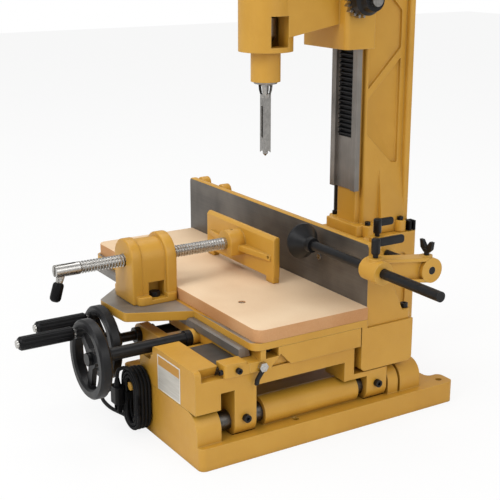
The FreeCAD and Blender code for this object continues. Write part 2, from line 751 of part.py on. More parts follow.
def grip(axis_x, axis_z, face, angle):
    """A fluted grip that spins on its spindle."""
    gx, gz = grip_centre(axis_x, axis_z, angle)
    rear = face - 3 - SLIDE_GAP
    front = rear - GRIP_LENGTH
    body = turned("y", gx, gz, [(front, 0), (front, GRIP_R - 2), (front + 3, GRIP_R),
                                (rear - 3, GRIP_R), (rear, GRIP_R - 2), (rear, 0)])
    flutes = []
    for n in range(GRIP_FLUTES):
        t = 2 * math.pi * n / GRIP_FLUTES
        reach = GRIP_R + 0.6
        flutes.append(bar("y", gx + reach * math.cos(t), gz + reach * math.sin(t), 1.4, (front + 6, rear - 4)))
    bore = bar("y", gx, gz, SPINDLE_R + RUNNING, (front - 1, rear + 1))
    return body.cut(flutes + [bore])


def y_screw():
    collar_r = Y_SCREW_R + 5
    front = Y_WHEEL_FACE + 2
    shaft = bar("y", Y_SCREW_X, Y_SCREW_Z, Y_SCREW_R, (front, NUT_Y[1] + 70))
    collars = [bar("y", Y_SCREW_X, Y_SCREW_Z, collar_r, (ARM_Y[0] - SLIDE_GAP - 9, ARM_Y[0] - SLIDE_GAP)),
               bar("y", Y_SCREW_X, Y_SCREW_Z, collar_r, (ARM_Y[1] + SLIDE_GAP, ARM_Y[1] + SLIDE_GAP + 8))]
    return join(shaft, *collars)


# ================= saddle =================

SADDLE_BOTTOM = CRADLE_TOP + 0.3
LEDGE_TOP = SADDLE_BOTTOM + SADDLE_LEDGE
WAY_REAR_GAP = 2.5


def saddle():
    y0, y1 = SADDLE_Y
    low, high = SADDLE_BOTTOM, SADDLE_BOTTOM + SADDLE_HEIGHT
    step = WAY_Y[1] + WAY_REAR_GAP
    section = [(y0, low), (y0, LEDGE_TOP), (step, LEDGE_TOP), (step, high), (y1, high), (y1, low)]
    body = prism("x", section, SADDLE_X)
    lug_x = (Y_SCREW_X - 16, SADDLE_X[0] + 1)
    lug = block(lug_x, (NUT_Y[0] - 10, NUT_Y[1] + 10), (low, low + 14))
    lug = rounded(lug, 10, "z", lambda p: p.x < Y_SCREW_X)
    boss = bar("y", X_SHAFT_X, X_SHAFT_Z, X_TUBE_R + 3, (y0 - 12, y0 + 2))
    above_boss = block((X_SHAFT_X - 20, X_SHAFT_X + 20), (WAY_Y[0] - 1, step - 1), (LEDGE_TOP, high))
    under_boss = block((X_SHAFT_X - 20, X_SHAFT_X + 20), (y0 - 13, y0 + 3), (0, low))
    body = join(body, lug, boss).cut([above_boss, under_boss])
    cuts = [prism("y", dovetail(SLIDE_GAP), (y0 - 1, y1 + 1)),
            block((SADDLE_X[0] - 1, SADDLE_X[1] + 1), (RACK_Y[0] - 2, RACK_Y[1] + 2), (RACK_TIP - 0.6, high + 1)),
            block((X_SHAFT_X - TROUGH_HALF + 0.5, X_SHAFT_X + TROUGH_HALF - 0.5), (RACK_Y[0] - 2, RACK_Y[1] + 2),
                  (low - 1, high)),
            bar("y", X_SHAFT_X, X_SHAFT_Z, X_JOURNAL_R + RUNNING, (y0 - 13, RACK_Y[1] + 20)),
            side_notch()]
    return body.cut(cuts)


def side_notch():
    """The cast relief in the saddle's right side."""
    high = SADDLE_BOTTOM + SADDLE_HEIGHT - 11
    return prism("x", [(-150, SADDLE_BOTTOM - 1), (-112, SADDLE_BOTTOM - 1), (-131, high)],
                 (SADDLE_X[1] - 8, SADDLE_X[1] + 1))


def gib():
    """The clamp block on the saddle's front right, bearing on the dovetail's flank."""
    y = (GIB_FRONT, SADDLE_Y[0])
    low = block((SADDLE_X[1] - GIB_WIDTH, SADDLE_X[1]), y, (SADDLE_BOTTOM, LEDGE_TOP))
    high = block((SADDLE_X[1] - GIB_WIDTH, SADDLE_X[1]), (GIB_FRONT, WAY_Y[0] - 2),
                 (LEDGE_TOP - 1, LEDGE_TOP + 5))
    body = rounded(join(low, high), 5, "z", lambda p: p.y < GIB_FRONT + 1 and p.x > SADDLE_X[1] - 1)
    return body.cut(prism("y", dovetail(SLIDE_GAP), (GIB_FRONT - 1, SADDLE_Y[0] + 1)))


def gib_screws():
    """The gib's socket screw and adjuster, and the slide lock bolt on the saddle's side."""
    socket = socket_screw("x", GIB_FRONT + 22, SADDLE_BOTTOM + 9, 4.5, SADDLE_X[1], 1)
    adjuster = socket_screw("y", SADDLE_X[1] - 8, SADDLE_BOTTOM + 8, 4, GIB_FRONT, -1)
    lock = hexagon("x", -164, LEDGE_TOP - 8, 7.5, (SADDLE_X[1], SADDLE_X[1] + 7))
    return [socket, adjuster, lock]


def y_nut():
    nut = block((Y_SCREW_X - 14, Y_SCREW_X + 14), NUT_Y, (Y_SCREW_Z - 14, SADDLE_BOTTOM))
    nut = rounded(nut, 6, "y", lambda p: p.z < Y_SCREW_Z)
    return nut.cut(bar("y", Y_SCREW_X, Y_SCREW_Z, Y_SCREW_R + RUNNING, grown(NUT_Y, 1)))


# ================= X feed =================

X_PINION_R = RACK_MODULE * RACK_TEETH / 2
RACK_PITCH_Z = X_SHAFT_Z + X_PINION_R
RACK_TIP = RACK_PITCH_Z - RACK_MODULE


def x_shaft():
    """The tube from the wheel, its journal in the saddle and the pinion cut on it."""
    front = X_WHEEL_FACE + 2
    shoulder = SADDLE_Y[0] - 12 - SLIDE_GAP
    tube = bar("y", X_SHAFT_X, X_SHAFT_Z, X_TUBE_R, (front, shoulder))
    collar = bar("y", X_SHAFT_X, X_SHAFT_Z, X_TUBE_R + 2.5, (shoulder - 10, shoulder))
    journal = bar("y", X_SHAFT_X, X_SHAFT_Z, X_JOURNAL_R, (shoulder - 1, RACK_Y[1] + 18))
    gap_up = 90 + 180 / RACK_TEETH
    pinion = gear("y", X_SHAFT_X, X_SHAFT_Z, RACK_MODULE, RACK_TEETH, RACK_Y, gap_up)
    return join(tube, collar, journal, pinion)


def table_rack():
    root = RACK_TIP + 2.25 * RACK_MODULE
    outline = rack_outline(RACK_X[0], RACK_X[1], X_SHAFT_X, root, PLATE_BOTTOM, RACK_MODULE)
    return prism("y", outline, RACK_Y)


# ================= table =================

PLATE_BOTTOM = TABLE_TOP - PLATE_T


def table():
    plate = block((BOARD_LEFT, BOARD_RIGHT), (BOARD_FRONT - TABLE_LIP, FENCE_Y), (PLATE_BOTTOM, TABLE_TOP))
    plate = rounded(plate, BOARD_CORNER, "z", lambda p: p.y < 0)
    wing = vise_wing()
    neck_wall = block((BOARD_LEFT, BOARD_RIGHT), (APRON_Y[0], FENCE_Y), (APRON_Z[0], TABLE_TOP))
    apron = block((BOARD_LEFT, BOARD_RIGHT), APRON_Y, APRON_Z)
    body = join(plate, wing, neck_wall, apron)
    body = rounded(body, 8, "x", lambda p: p.z < APRON_Z[0] + 1).cut(way_bar())
    cells = 4
    inner_x = (BOARD_LEFT + APRON_WALL, BOARD_RIGHT - APRON_WALL)
    width = (inner_x[1] - inner_x[0] + APRON_WALL) / cells
    for n in range(cells):
        low = inner_x[0] + n * width
        cell = block((low, low + width - APRON_WALL), (APRON_Y[0] + APRON_WALL, APRON_Y[1] - APRON_WALL),
                     (APRON_Z[0] - 1, APRON_Z[1] - APRON_WALL))
        body = body.cut(rounded(cell, 6, "z"))
    return body


def vise_wing():
    """The seat for the vise, standing out of the table's front."""
    root = BOARD_FRONT
    outline = [(VISE_X - 121.5, root), (VISE_X - 63.5, -239), (VISE_X - 24.5, -281), (VISE_X + 54.5, -275),
               (VISE_X + 104.5, root)]
    wing = prism("z", outline, (TABLE_TOP - WING_THICK, TABLE_TOP))
    return rounded(wing, BASE_CORNER, "z", lambda p: p.y < root - 1)


def way_bar():
    """The ground front way under the table, dovetailed at its rear."""
    y0, y1 = WAY_Y
    section = [(y0, WAY_BOTTOM + 2), (y0 + 2, WAY_BOTTOM), (y1, WAY_BOTTOM), (y1 - 4, PLATE_BOTTOM),
               (y0 + 4, PLATE_BOTTOM), (y0, PLATE_BOTTOM - 2)]
    return prism("x", section, WAY_X)


def board_screw_places():
    inset = 122.5
    return [(x, y) for x in (BOARD_LEFT + inset, BOARD_RIGHT - inset)
            for y in (BOARD_FRONT + 49.5, FENCE_Y - 49.5)]


def board():
    top = TABLE_TOP + BOARD_THICK
    body = block((BOARD_LEFT, BOARD_RIGHT), (BOARD_FRONT, FENCE_Y), (TABLE_TOP, top))
    body = rounded(body, BOARD_CORNER, "z", lambda p: p.y < 0)
    holes = []
    for x, y in board_screw_places():
        holes.append(bar("z", x, y, 2.5, (TABLE_TOP - 1, top)))
        holes.append(cone("z", x, y, 2.5, 6, (top - 5, top)))
        holes.append(bar("z", x, y, 6, (top, top + 1)))
    return body.cut(holes)


def board_screws():
    top = TABLE_TOP + BOARD_THICK
    screws = []
    for x, y in board_screw_places():
        shank = bar("z", x, y, 2.5, (TABLE_TOP, top - 4.5))
        head = cone("z", x, y, 2.5, 5.3, (top - 5, top - 1))
        screws.append(join(shank, head))
    return screws


# ================= fence =================

def fence():
    plate_z = (APRON_Z[1], FENCE_TOP)
    rear = FENCE_Y + FENCE_T
    soft = 2
    section = [(FENCE_Y, plate_z[0]), (FENCE_Y, FENCE_TOP - soft), (FENCE_Y + soft, FENCE_TOP),
               (rear - soft, FENCE_TOP), (rear, FENCE_TOP - soft), (rear, plate_z[0])]
    outline = rounded(block(FENCE_X, (FENCE_Y, rear), plate_z), 8, "y", lambda p: p.z > FENCE_TOP - 1)
    plate = prism("x", section, FENCE_X).common(outline)
    pieces = []
    for x in GUSSETS:
        span = (x, x + GUSSET_W)
        side = [(rear - 1, APRON_Z[1]), (GUSSET_REAR, APRON_Z[1]), (GUSSET_REAR, APRON_Z[1] + FENCE_FOOT_T),
                (rear + 14, FENCE_TOP - 14), (rear - 1, FENCE_TOP - 14)]
        pieces.append(prism("x", side, span))
        foot = block(grown(span, 9) if x < 0 else (x - 18, x + GUSSET_W), (rear - 1, FENCE_FOOT_REAR),
                     (APRON_Z[1], APRON_Z[1] + FENCE_FOOT_T))
        pieces.append(rounded(foot, 8, "z", lambda p: p.y > rear))
    for x in (-303, -217):
        pieces.append(bar("y", x, FENCE_TOP - 16, 8, (rear - 1, rear + 8)))
    return join(plate, *pieces)


def fence_screws():
    top = APRON_Z[1] + FENCE_FOOT_T
    places = [(GUSSETS[0] - 1, 1), (GUSSETS[1] - 1, 1), (GUSSETS[2] + 13, 1)]
    screws = [socket_screw("z", x, FENCE_FOOT_REAR - 8, 6, top, 1) for x, way in places]
    screws.append(bar("y", 104, 240, 5, (FENCE_Y - 1.5, FENCE_Y)))
    return screws


# ================= end stop =================

def stop_bracket():
    """The block behind the fence that clamps the stop's pivot pin."""
    rear = FENCE_Y + FENCE_T
    eye = bar("x", PIN_Y, PIN_Z, 17, BRACKET_X)
    arm = block(BRACKET_X, (rear, PIN_Y), (PIN_Z - 17, PIN_Z + 6))
    foot = block(grown(BRACKET_X, 8), (rear, rear + 8), (PIN_Z - 24, PIN_Z + 12))
    foot = rounded(foot, 6, "y")
    cap = bar("z", UPPER_LEVER_X, PIN_Y, 13, (PIN_Z, PIN_Z + 22))
    body = join(eye, arm, foot, cap)
    return body.cut(bar("x", PIN_Y, PIN_Z, PIN_R, grown(BRACKET_X, 1)))


def stop_pin():
    return bar("x", PIN_Y, PIN_Z, PIN_R, PIN_X)


def ratchet_lever(x, y, seat, length):
    """A clamping lever: a hub on its stud and a handle that rises and runs to the rear."""
    hub = turned("z", x, y, [(seat, 0), (seat, 8), (seat + 18, 10), (seat + 27, 10), (seat + 29, 8),
                             (seat + 29, 0)])
    arm = prism("x", [(y, seat + 12), (y + length, seat + 15), (y + length, seat + 29), (y, seat + 27)],
                (x - 5.5, x + 5.5))
    arm = rounded(arm, 4, "x", lambda p: p.y > y + 1)
    return join(hub, arm)


def stop_arm():
    """The swinging arm that carries the stop rod over the fence's end."""
    rear_boss = bar("x", PIN_Y, PIN_Z, ARM_BOSS_R, ARM_BOSS_X)
    front_boss = bar("x", STOP_ROD_Y, STOP_ROD_Z, STOP_BOSS_R, STOP_BOSS_X)
    web_x = (ARM_BOSS_X[0] + 8, ARM_BOSS_X[1] - 8)
    web = prism("x", [(STOP_ROD_Y, STOP_ROD_Z - 13), (PIN_Y, PIN_Z - 15), (PIN_Y, PIN_Z + 15),
                      (STOP_ROD_Y, STOP_ROD_Z + 13)], web_x)
    flanges = []
    for rise, drop in ((STOP_BOSS_R - 5, ARM_BOSS_R - 5), (-STOP_BOSS_R, -ARM_BOSS_R)):
        flanges.append(prism("x", [(STOP_ROD_Y, STOP_ROD_Z + rise), (PIN_Y, PIN_Z + drop),
                                   (PIN_Y, PIN_Z + drop + 5), (STOP_ROD_Y, STOP_ROD_Z + rise + 5)],
                             (ARM_BOSS_X[0] + 1, ARM_BOSS_X[1] - 1)))
    seat = bar("z", LOWER_LEVER_X, STOP_ROD_Y, 11, (STOP_ROD_Z, STOP_ROD_Z + STOP_BOSS_R + 2))
    thumb_seat = bar("z", THUMB_X, PIN_Y, 9, (PIN_Z, PIN_Z + ARM_BOSS_R + 2))
    body = join(rear_boss, front_boss, web, seat, thumb_seat, *flanges)
    return body.cut([bar("x", PIN_Y, PIN_Z, PIN_R + RUNNING, grown(ARM_BOSS_X, 1)),
                     bar("x", STOP_ROD_Y, STOP_ROD_Z, STOP_ROD_R + RUNNING, grown(STOP_BOSS_X, 1))])


def thumb_screw():
    """The wing screw that locks the arm on its pin."""
    seat = PIN_Z + ARM_BOSS_R + 2 + SLIDE_GAP
    stem = bar("z", THUMB_X, PIN_Y, 4, (seat, seat + 10))
    wing = [(THUMB_X - 14, seat + 22), (THUMB_X - 12, seat + 10), (THUMB_X - 5, seat + 4),
            (THUMB_X + 5, seat + 4), (THUMB_X + 12, seat + 10), (THUMB_X + 14, seat + 22),
            (THUMB_X + 8, seat + 22), (THUMB_X, seat + 12), (THUMB_X - 8, seat + 22)]
    return join(stem, prism("y", wing, (PIN_Y - 2.5, PIN_Y + 2.5)))


def stop_rod():
    return bar("x", STOP_ROD_Y, STOP_ROD_Z, STOP_ROD_R, (STOP_ROD_X[0] + 4, STOP_ROD_X[1]))


def stop_cup():
    """The cone-backed pad at the rod's end."""
    x = STOP_ROD_X[0]
    return turned("x", STOP_ROD_Y, STOP_ROD_Z, [(x, 0), (x, STOP_CUP_R - 2), (x + 2, STOP_CUP_R), (x + 5, STOP_CUP_R),
                                               (x + 26, STOP_ROD_R + 5), (x + 34, STOP_ROD_R + 4),
                                               (x + 34, STOP_ROD_R), (x + 4, STOP_ROD_R), (x + 4, 0)])


# ================= vise =================

def vise_body():
    """The arched nut casting: two end flanges, a waisted middle, a foot with its bolt pocket."""
    y0, y1 = VISE_Y
    low = TABLE_TOP
    front = arch("y", VISE_X, VISE_Z + 2, VISE_HALF, low, (y0, y0 + VISE_FLANGE))
    rear = arch("y", VISE_X, VISE_Z, VISE_ARCH_R, low, (y1 - VISE_FLANGE, y1))
    middle = arch("y", VISE_X, VISE_Z, VISE_HALF - 6, low, (y0 + 1, y1 - 1))
    foot = block((VISE_X - VISE_HALF - 22, VISE_X + VISE_HALF + 10), (y0 + 6, y1), (low, low + 14))
    foot = rounded(foot, 9, "z", lambda p: p.y < y1 - 1)
    pad = bar("y", VISE_X - VISE_HALF - 12, low + 20, 12, (y1 - VISE_FLANGE - 8, y1))
    rib = block((VISE_X - 4, VISE_X + 4), (y0 + 1, y1 - 1), (VISE_Z + VISE_HALF - 8, VISE_Z + VISE_HALF))
    body = join(front, rear, middle, foot, pad, rib)
    pocket = arch("x", mid(VISE_Y) + 4, low + 22, 12, low + 8, (VISE_X + 8, VISE_X + VISE_HALF + 11))
    bore = bar("y", VISE_X, VISE_Z, VISE_SCREW_R + RUNNING, grown(VISE_Y, 1))
    return body.cut([pocket, bore])


def vise_bolts():
    low = TABLE_TOP
    hold = hexagon("z", VISE_X + 24, mid(VISE_Y) + 4, 9, (low + 8, low + 16))
    face = VISE_Y[1] - VISE_FLANGE - 8
    lock = socket_screw("y", VISE_X - VISE_HALF - 12, low + 20, 6, face, -1)
    return [hold, lock]


def jaw():
    """The moving jaw: a bevelled plate, ribs tapering from a centre boss, two feet."""
    y0, y1 = JAW_Y
    low, high = JAW_Z
    plate = prism("x", [(y0, low), (y1, low), (y1, high - 3), (y1 - 3, high), (y0 + 4, high), (y0, high - 4)], JAW_X)
    plate = rounded(plate, 3, "y", lambda p: p.z < low + 1)
    pieces = []
    boss_y = (y0 - JAW_BOSS, y0 + 1)
    boss = arch("y", VISE_X, VISE_Z, 22, VISE_Z - 20, boss_y)
    pieces.append(boss)
    for z in (low + 10, high - 16):
        for end in JAW_X:
            reach = end - VISE_X
            rib = prism("z", [(VISE_X, y0 - 16), (VISE_X + reach * 0.92, y0 - 3), (VISE_X + reach * 0.92, y0 + 1),
                              (VISE_X, y0 + 1)], (z, z + 7))
            pieces.append(rib)
    for x in (JAW_X[0] + 26, JAW_X[1] - 34):
        pieces.append(prism("x", [(y0 + 1, low + 10), (y0 - 6, low + 12), (y0 - 6, high - 14), (y0 + 1, high - 10)],
                            (x, x + 7)))
    for x in (JAW_X[0] + 2, JAW_X[1] - 22):
        pieces.append(block((x, x + 20), JAW_Y, (TABLE_TOP + BOARD_THICK + SLIDE_GAP, low + 1)))
    body = join(plate, *pieces)
    holes = [bar("y", x, mid(JAW_Z), 2.6, (y0 - 10, y1 + 1)) for x in (JAW_X[0] + 12, JAW_X[1] - 12)]
    seat = bar("y", VISE_X, VISE_Z, VISE_SCREW_R - 2 + RUNNING, (y0 - JAW_BOSS - 1, y0 - 6))
    grub = bar("z", VISE_X, y0 - 14, 3, (VISE_Z + 14, VISE_Z + 23))
    return body.cut(holes + [seat, grub])


def vise_screw():
    """The threaded screw with its plain slotted end at the operator."""
    jaw_face = JAW_Y[0] - JAW_BOSS
    thread = bar("y", VISE_X, VISE_Z, VISE_SCREW_R, (SCREW_FRONT, jaw_face - SLIDE_GAP))
    nose = bar("y", VISE_X, VISE_Z, VISE_SCREW_R - 2, (jaw_face - 2, JAW_Y[0] - 7))
    slot = block((VISE_X - 3 - SLIDE_GAP, VISE_X + 3 + SLIDE_GAP), (SCREW_FRONT - 1, SCREW_FRONT + 34),
                 (VISE_Z - 20, VISE_Z + 20))
    return join(thread, nose).cut(slot)


KNUCKLE_Y = SCREW_FRONT + 12


def vise_handle():
    """The folding lever's flat steel knuckle and its pin, in the screw's slot."""
    flat = prism("x", [(KNUCKLE_Y - 7, VISE_Z + 7), (KNUCKLE_Y + 7, VISE_Z + 7), (KNUCKLE_Y + 4, VISE_Z - 20),
                       (KNUCKLE_Y - 10, VISE_Z - 20)], (VISE_X - 3, VISE_X + 3))
    return flat


def vise_grip():
    """The dipped grip on the folding lever, leaning to the front as it hangs."""
    profile = [(-52, 0), (-52, 4), (-50, 6.5), (-20, 6.5), (-17, 5), (-17, 0)]
    grip_body = turned("z", 0, 0, profile)
    grip_body = turn(grip_body, "x", 0, 0, -9)
    grip_body.translate(V(VISE_X, KNUCKLE_Y - 1, VISE_Z))
    return grip_body.cut(vise_handle())


# ================= head =================

PINION_Y = LIFT_RACK_TIP + LIFT_MODULE - LIFT_MODULE * LIFT_TEETH / 2


def head_casting():
    """The sliding head: a block gripping the way, a rounded nose and the spindle housing."""
    block_y = (HEAD_FRONT, HEAD_REAR)
    slide = block((-HEAD_HALF, HEAD_HALF), block_y, HEAD_Z)
    slide = rounded(slide, 8, "z")
    nose_half = 42
    nose = prism("x", [(SPINDLE_Y, HEAD_Z[0] + 20), (HEAD_FRONT + 1, HEAD_Z[0] + 40),
                       (HEAD_FRONT + 1, HEAD_Z[1] - 10), (SPINDLE_Y, HEAD_Z[1] - 5)], (-nose_half, nose_half))
    housing = bar("z", 0, SPINDLE_Y, HOUSING_R, (HEAD_Z[0], HEAD_Z[1]))
    holder = bar("z", 0, SPINDLE_Y, 24, (CHISEL_DISC + 2, HEAD_Z[0] + 1))
    motor_seat = bar("z", 0, SPINDLE_Y, MOTOR_R - 8, (HEAD_Z[1] - 12, HEAD_Z[1]))
    arm = block((GAS_X - GAS_R, -HEAD_HALF + 4), (HEAD_REAR - 26, GAS_Y + GAS_R), (HEAD_Z[1] - 40, HEAD_Z[1] - 20))
    arm = rounded(arm, 6, "z", lambda p: p.y > HEAD_REAR)
    body = join(slide, nose, housing, holder, motor_seat, arm)
    gap = SLIDE_GAP
    column_z = grown(HEAD_Z, 1)
    cuts = [block((-WAY_HALF - gap, WAY_HALF + gap), (WAY_FRONT - gap, NECK_Y[0] + gap), column_z),
            block((-NECK_HALF - 2, NECK_HALF + 2), (NECK_Y[0], HEAD_REAR + 1), column_z),
            bar("x", PINION_Y, LIFT_AXIS_Z, PINION_CLEAR_R, (-LIFT_RACK_HALF - 1, LIFT_RACK_HALF + 1)),
            bar("x", PINION_Y, LIFT_AXIS_Z, FEED_SHAFT_R + RUNNING, (-HEAD_HALF - 1, HEAD_HALF + 1)),
            bar("z", 0, SPINDLE_Y, 20, (HEAD_Z[0] + 4, HEAD_Z[0] + 62)),
            bar("z", 0, SPINDLE_Y, 12 + RUNNING, (HEAD_Z[0] + 61, HEAD_Z[1] + 1)),
            bar("z", 0, SPINDLE_Y, 10, (CHISEL_DISC, HEAD_Z[0] + 5)),
            block((10, HOUSING_R + 1), (SPINDLE_Y - 16, SPINDLE_Y + 16), (HEAD_Z[0] + 8, HEAD_Z[0] + 56))]
    return body.cut(cuts)


PINION_CLEAR_R = LIFT_MODULE * (LIFT_TEETH / 2 + 1) + 1


def motor():
    """A finned upright motor with a domed cover and a terminal box."""
    low = HEAD_Z[1]
    shell = turned("z", 0, SPINDLE_Y, [(low, 0), (low, MOTOR_R - 8), (low + 10, MOTOR_R - 3), (low + 130, MOTOR_R - 3),
                                       (MOTOR_TOP - 20, MOTOR_R - 4), (MOTOR_TOP - 4, MOTOR_R - 18), (MOTOR_TOP, 0)])
    fins = []
    for n in range(20):
        fin = block((MOTOR_R - 8, MOTOR_R), (SPINDLE_Y - 1.5, SPINDLE_Y + 1.5), (low + 18, low + 118))
        fins.append(turn(fin, "z", 0, SPINDLE_Y, 18 * n))
    box = block((-MOTOR_R - 24, -MOTOR_R + 12), (SPINDLE_Y - 30, SPINDLE_Y + 30), (low + 30, low + 96))
    box = rounded(box, 6, "x")
    body = join(shell, box, *fins)
    return body.cut(bar("z", 0, SPINDLE_Y, 13, (low - 1, low + 10)))


def switch_box():
    """The switch housing on the head's left cheek."""
    x = (-HEAD_HALF - 30, -HEAD_HALF)
    box = block(x, SWITCH_Y, SWITCH_Z)
    recess = block((x[0] - 1, x[0] + SWITCH_RECESS), grown(SWITCH_Y, -6), grown(SWITCH_Z, -12))
    return rounded(box, 5, "x").cut(recess)


def switch_paddle():
    """The rocking start and stop paddle in the switch housing."""
    x = -HEAD_HALF - 30
    z = grown(SWITCH_Z, -13)
    floor = x + SWITCH_RECESS - SLIDE_GAP
    face = [(x + 4, z[0] + 3), (floor, mid(z)), (x + 4, z[1] - 3), (x - 1, z[1]), (x + 1, mid(z)), (x - 3, z[0])]
    return prism("y", face, grown(SWITCH_Y, -6.4))


def chisel():
    """The hollow square chisel with its chip window and pointed corners."""
    half = CHISEL / 2
    blade = block((-half, half), (SPINDLE_Y - half, SPINDLE_Y + half), (CHISEL_TIP, CHISEL_NECK))
    flare = cone("z", 0, SPINDLE_Y, half, 10, (CHISEL_NECK - 6, CHISEL_NECK + 4))
    shank = bar("z", 0, SPINDLE_Y, 10, (CHISEL_NECK + 3, HEAD_Z[0] + 4))
    disc = bar("z", 0, SPINDLE_Y, 19, (CHISEL_DISC - 1.5, CHISEL_DISC + 2))
    body = join(blade, flare, shank, disc)
    hollow = bar("z", 0, SPINDLE_Y, BIT_R + 0.5, (CHISEL_TIP - 1, HEAD_Z[0] + 5))
    mouth = cone("z", 0, SPINDLE_Y, half + 2.2, BIT_R, (CHISEL_TIP - 0.1, CHISEL_TIP + 6))
    window = stadium("x", SPINDLE_Y, CHISEL_TIP + 30, CHISEL_TIP + 66, 3, (0, half + 1))
    return body.cut([hollow, mouth, window])


def spindle():
    """The spindle with its chuck and the bit that turns inside the chisel."""
    shaft = bar("z", 0, SPINDLE_Y, 12, (HEAD_Z[0] + 50, HEAD_Z[1] + 8))
    chuck = turned("z", 0, SPINDLE_Y, [(HEAD_Z[0] + 10, 0), (HEAD_Z[0] + 10, 8), (HEAD_Z[0] + 24, 17),
                                       (HEAD_Z[0] + 52, 17), (HEAD_Z[0] + 54, 15), (HEAD_Z[0] + 54, 0)])
    bit = bar("z", 0, SPINDLE_Y, BIT_R, (CHISEL_TIP - 2, HEAD_Z[0] + 12))
    point = cone("z", 0, SPINDLE_Y, 0.6, BIT_R, (CHISEL_TIP - 6, CHISEL_TIP - 2))
    return join(shaft, chuck, bit, point)


def gas_rod():
    return bar("z", GAS_X, GAS_Y, GAS_ROD_R, (GAS_TOP - 30, HEAD_Z[1] - 40))


def feed_shaft():
    """The lift pinion, its cross shaft and the toothed plate that the lever drives."""
    shaft = bar("x", PINION_Y, LIFT_AXIS_Z, FEED_SHAFT_R, (-HEAD_HALF - 4, HEAD_HALF + 52))
    gap_back = 180 / LIFT_TEETH
    pinion = gear("x", PINION_Y, LIFT_AXIS_Z, LIFT_MODULE, LIFT_TEETH,
                  (-LIFT_RACK_HALF + 1, LIFT_RACK_HALF - 1), gap_back)
    plate = gear("x", PINION_Y, LIFT_AXIS_Z, 3, 18, (HEAD_HALF + 2, HEAD_HALF + 12), 0)
    return join(shaft, pinion, plate)


def feed_lever():
    """The lever on its hub beside the head."""
    hub_x = (HEAD_HALF + 13, HEAD_HALF + 45)
    hub = turned("x", PINION_Y, LIFT_AXIS_Z, [(hub_x[0], FEED_SHAFT_R + RUNNING), (hub_x[0], 25), (hub_x[0] + 16, 25),
                                              (hub_x[0] + 20, 20), (hub_x[1], 18), (hub_x[1], FEED_SHAFT_R + RUNNING)])
    arm = bar("z", hub_x[0] + 8, PINION_Y, 7, (LIFT_AXIS_Z + 20, LIFT_AXIS_Z + LEVER_LENGTH))
    arm = turn(arm, "x", PINION_Y, LIFT_AXIS_Z, 90 - LEVER_ANGLE)
    return join(hub, arm)


def feed_knob():
    x = HEAD_HALF + 21
    low = LIFT_AXIS_Z + LEVER_LENGTH
    knob = turned("z", x, PINION_Y, [(low, 0), (low, 8), (low + 6, 14), (low + 18, 17), (low + 30, 14), (low + 36, 6),
                                     (low + 37, 0)])
    return turn(knob, "x", PINION_Y, LIFT_AXIS_Z, 90 - LEVER_ANGLE)


# ================= all pieces =================

def group(pieces):
    return Part.makeCompound(pieces)


def x_feed_pieces():
    save("x_shaft", x_shaft())
    wheel_place = (X_SHAFT_X, X_SHAFT_Z, X_WHEEL_FACE)
    save("x_wheel", handwheel(*wheel_place, X_TUBE_R, X_GRIP_ANGLE))
    save("x_spindle", grip_spindle(*wheel_place, X_GRIP_ANGLE))
    save("x_grip", grip(*wheel_place, X_GRIP_ANGLE))


def y_feed_pieces():
    save("y_screw", y_screw())
    wheel_place = (Y_SCREW_X, Y_SCREW_Z, Y_WHEEL_FACE)
    save("y_wheel", handwheel(*wheel_place, Y_SCREW_R, Y_GRIP_ANGLE))
    save("y_spindle", grip_spindle(*wheel_place, Y_GRIP_ANGLE))
    save("y_grip", grip(*wheel_place, Y_GRIP_ANGLE))


def main():
    os.makedirs("parts", exist_ok=True)
    single = [base_casting, hinge_shaft, column, column_way, lift_rack, key_clip, gas_cylinder,
              cord_hank, cord_lead, cord_gland, plug, cradle, rating_plate, saddle, gib, y_nut,
              table, way_bar, table_rack, board, fence, stop_bracket, stop_pin, stop_arm, thumb_screw,
              stop_rod, stop_cup, vise_body, jaw, vise_screw, vise_handle, vise_grip,
              head_casting, motor, switch_box, switch_paddle, chisel, spindle, gas_rod,
              feed_shaft, feed_lever, feed_knob]
    for make in single:
        save(make.__name__, make())
    for make in (rest_screws, column_bolts, tilt_clamps, gib_screws, board_screws, fence_screws, vise_bolts):
        save(make.__name__, group(make()))
    save("upper_lever", ratchet_lever(UPPER_LEVER_X, PIN_Y, PIN_Z + 22 + SLIDE_GAP, 42))
    save("lower_lever", ratchet_lever(LOWER_LEVER_X, STOP_ROD_Y, STOP_ROD_Z + STOP_BOSS_R + 2 + SLIDE_GAP, 58))
    x_feed_pieces()
    y_feed_pieces()


main()
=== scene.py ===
import json
import math

import bpy
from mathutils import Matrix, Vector


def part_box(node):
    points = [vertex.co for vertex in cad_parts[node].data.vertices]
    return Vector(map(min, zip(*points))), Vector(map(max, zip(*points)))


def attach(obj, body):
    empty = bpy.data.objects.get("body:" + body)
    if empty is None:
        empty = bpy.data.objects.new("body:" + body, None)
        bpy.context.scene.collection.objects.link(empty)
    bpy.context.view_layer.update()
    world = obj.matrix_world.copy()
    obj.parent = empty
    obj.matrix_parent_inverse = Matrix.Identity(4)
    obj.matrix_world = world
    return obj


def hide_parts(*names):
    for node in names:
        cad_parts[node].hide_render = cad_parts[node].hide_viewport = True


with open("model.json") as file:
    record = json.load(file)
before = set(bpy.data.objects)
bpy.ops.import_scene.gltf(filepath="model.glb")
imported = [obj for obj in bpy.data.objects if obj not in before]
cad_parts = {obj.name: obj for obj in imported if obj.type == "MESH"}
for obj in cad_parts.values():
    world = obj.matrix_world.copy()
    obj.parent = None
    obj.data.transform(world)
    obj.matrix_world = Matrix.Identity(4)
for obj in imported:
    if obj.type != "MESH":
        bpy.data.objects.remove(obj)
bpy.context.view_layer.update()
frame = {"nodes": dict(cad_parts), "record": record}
nodes = frame["nodes"]
bpy.ops.object.select_all(action="DESELECT")


# ---- colours and shader nodes ----

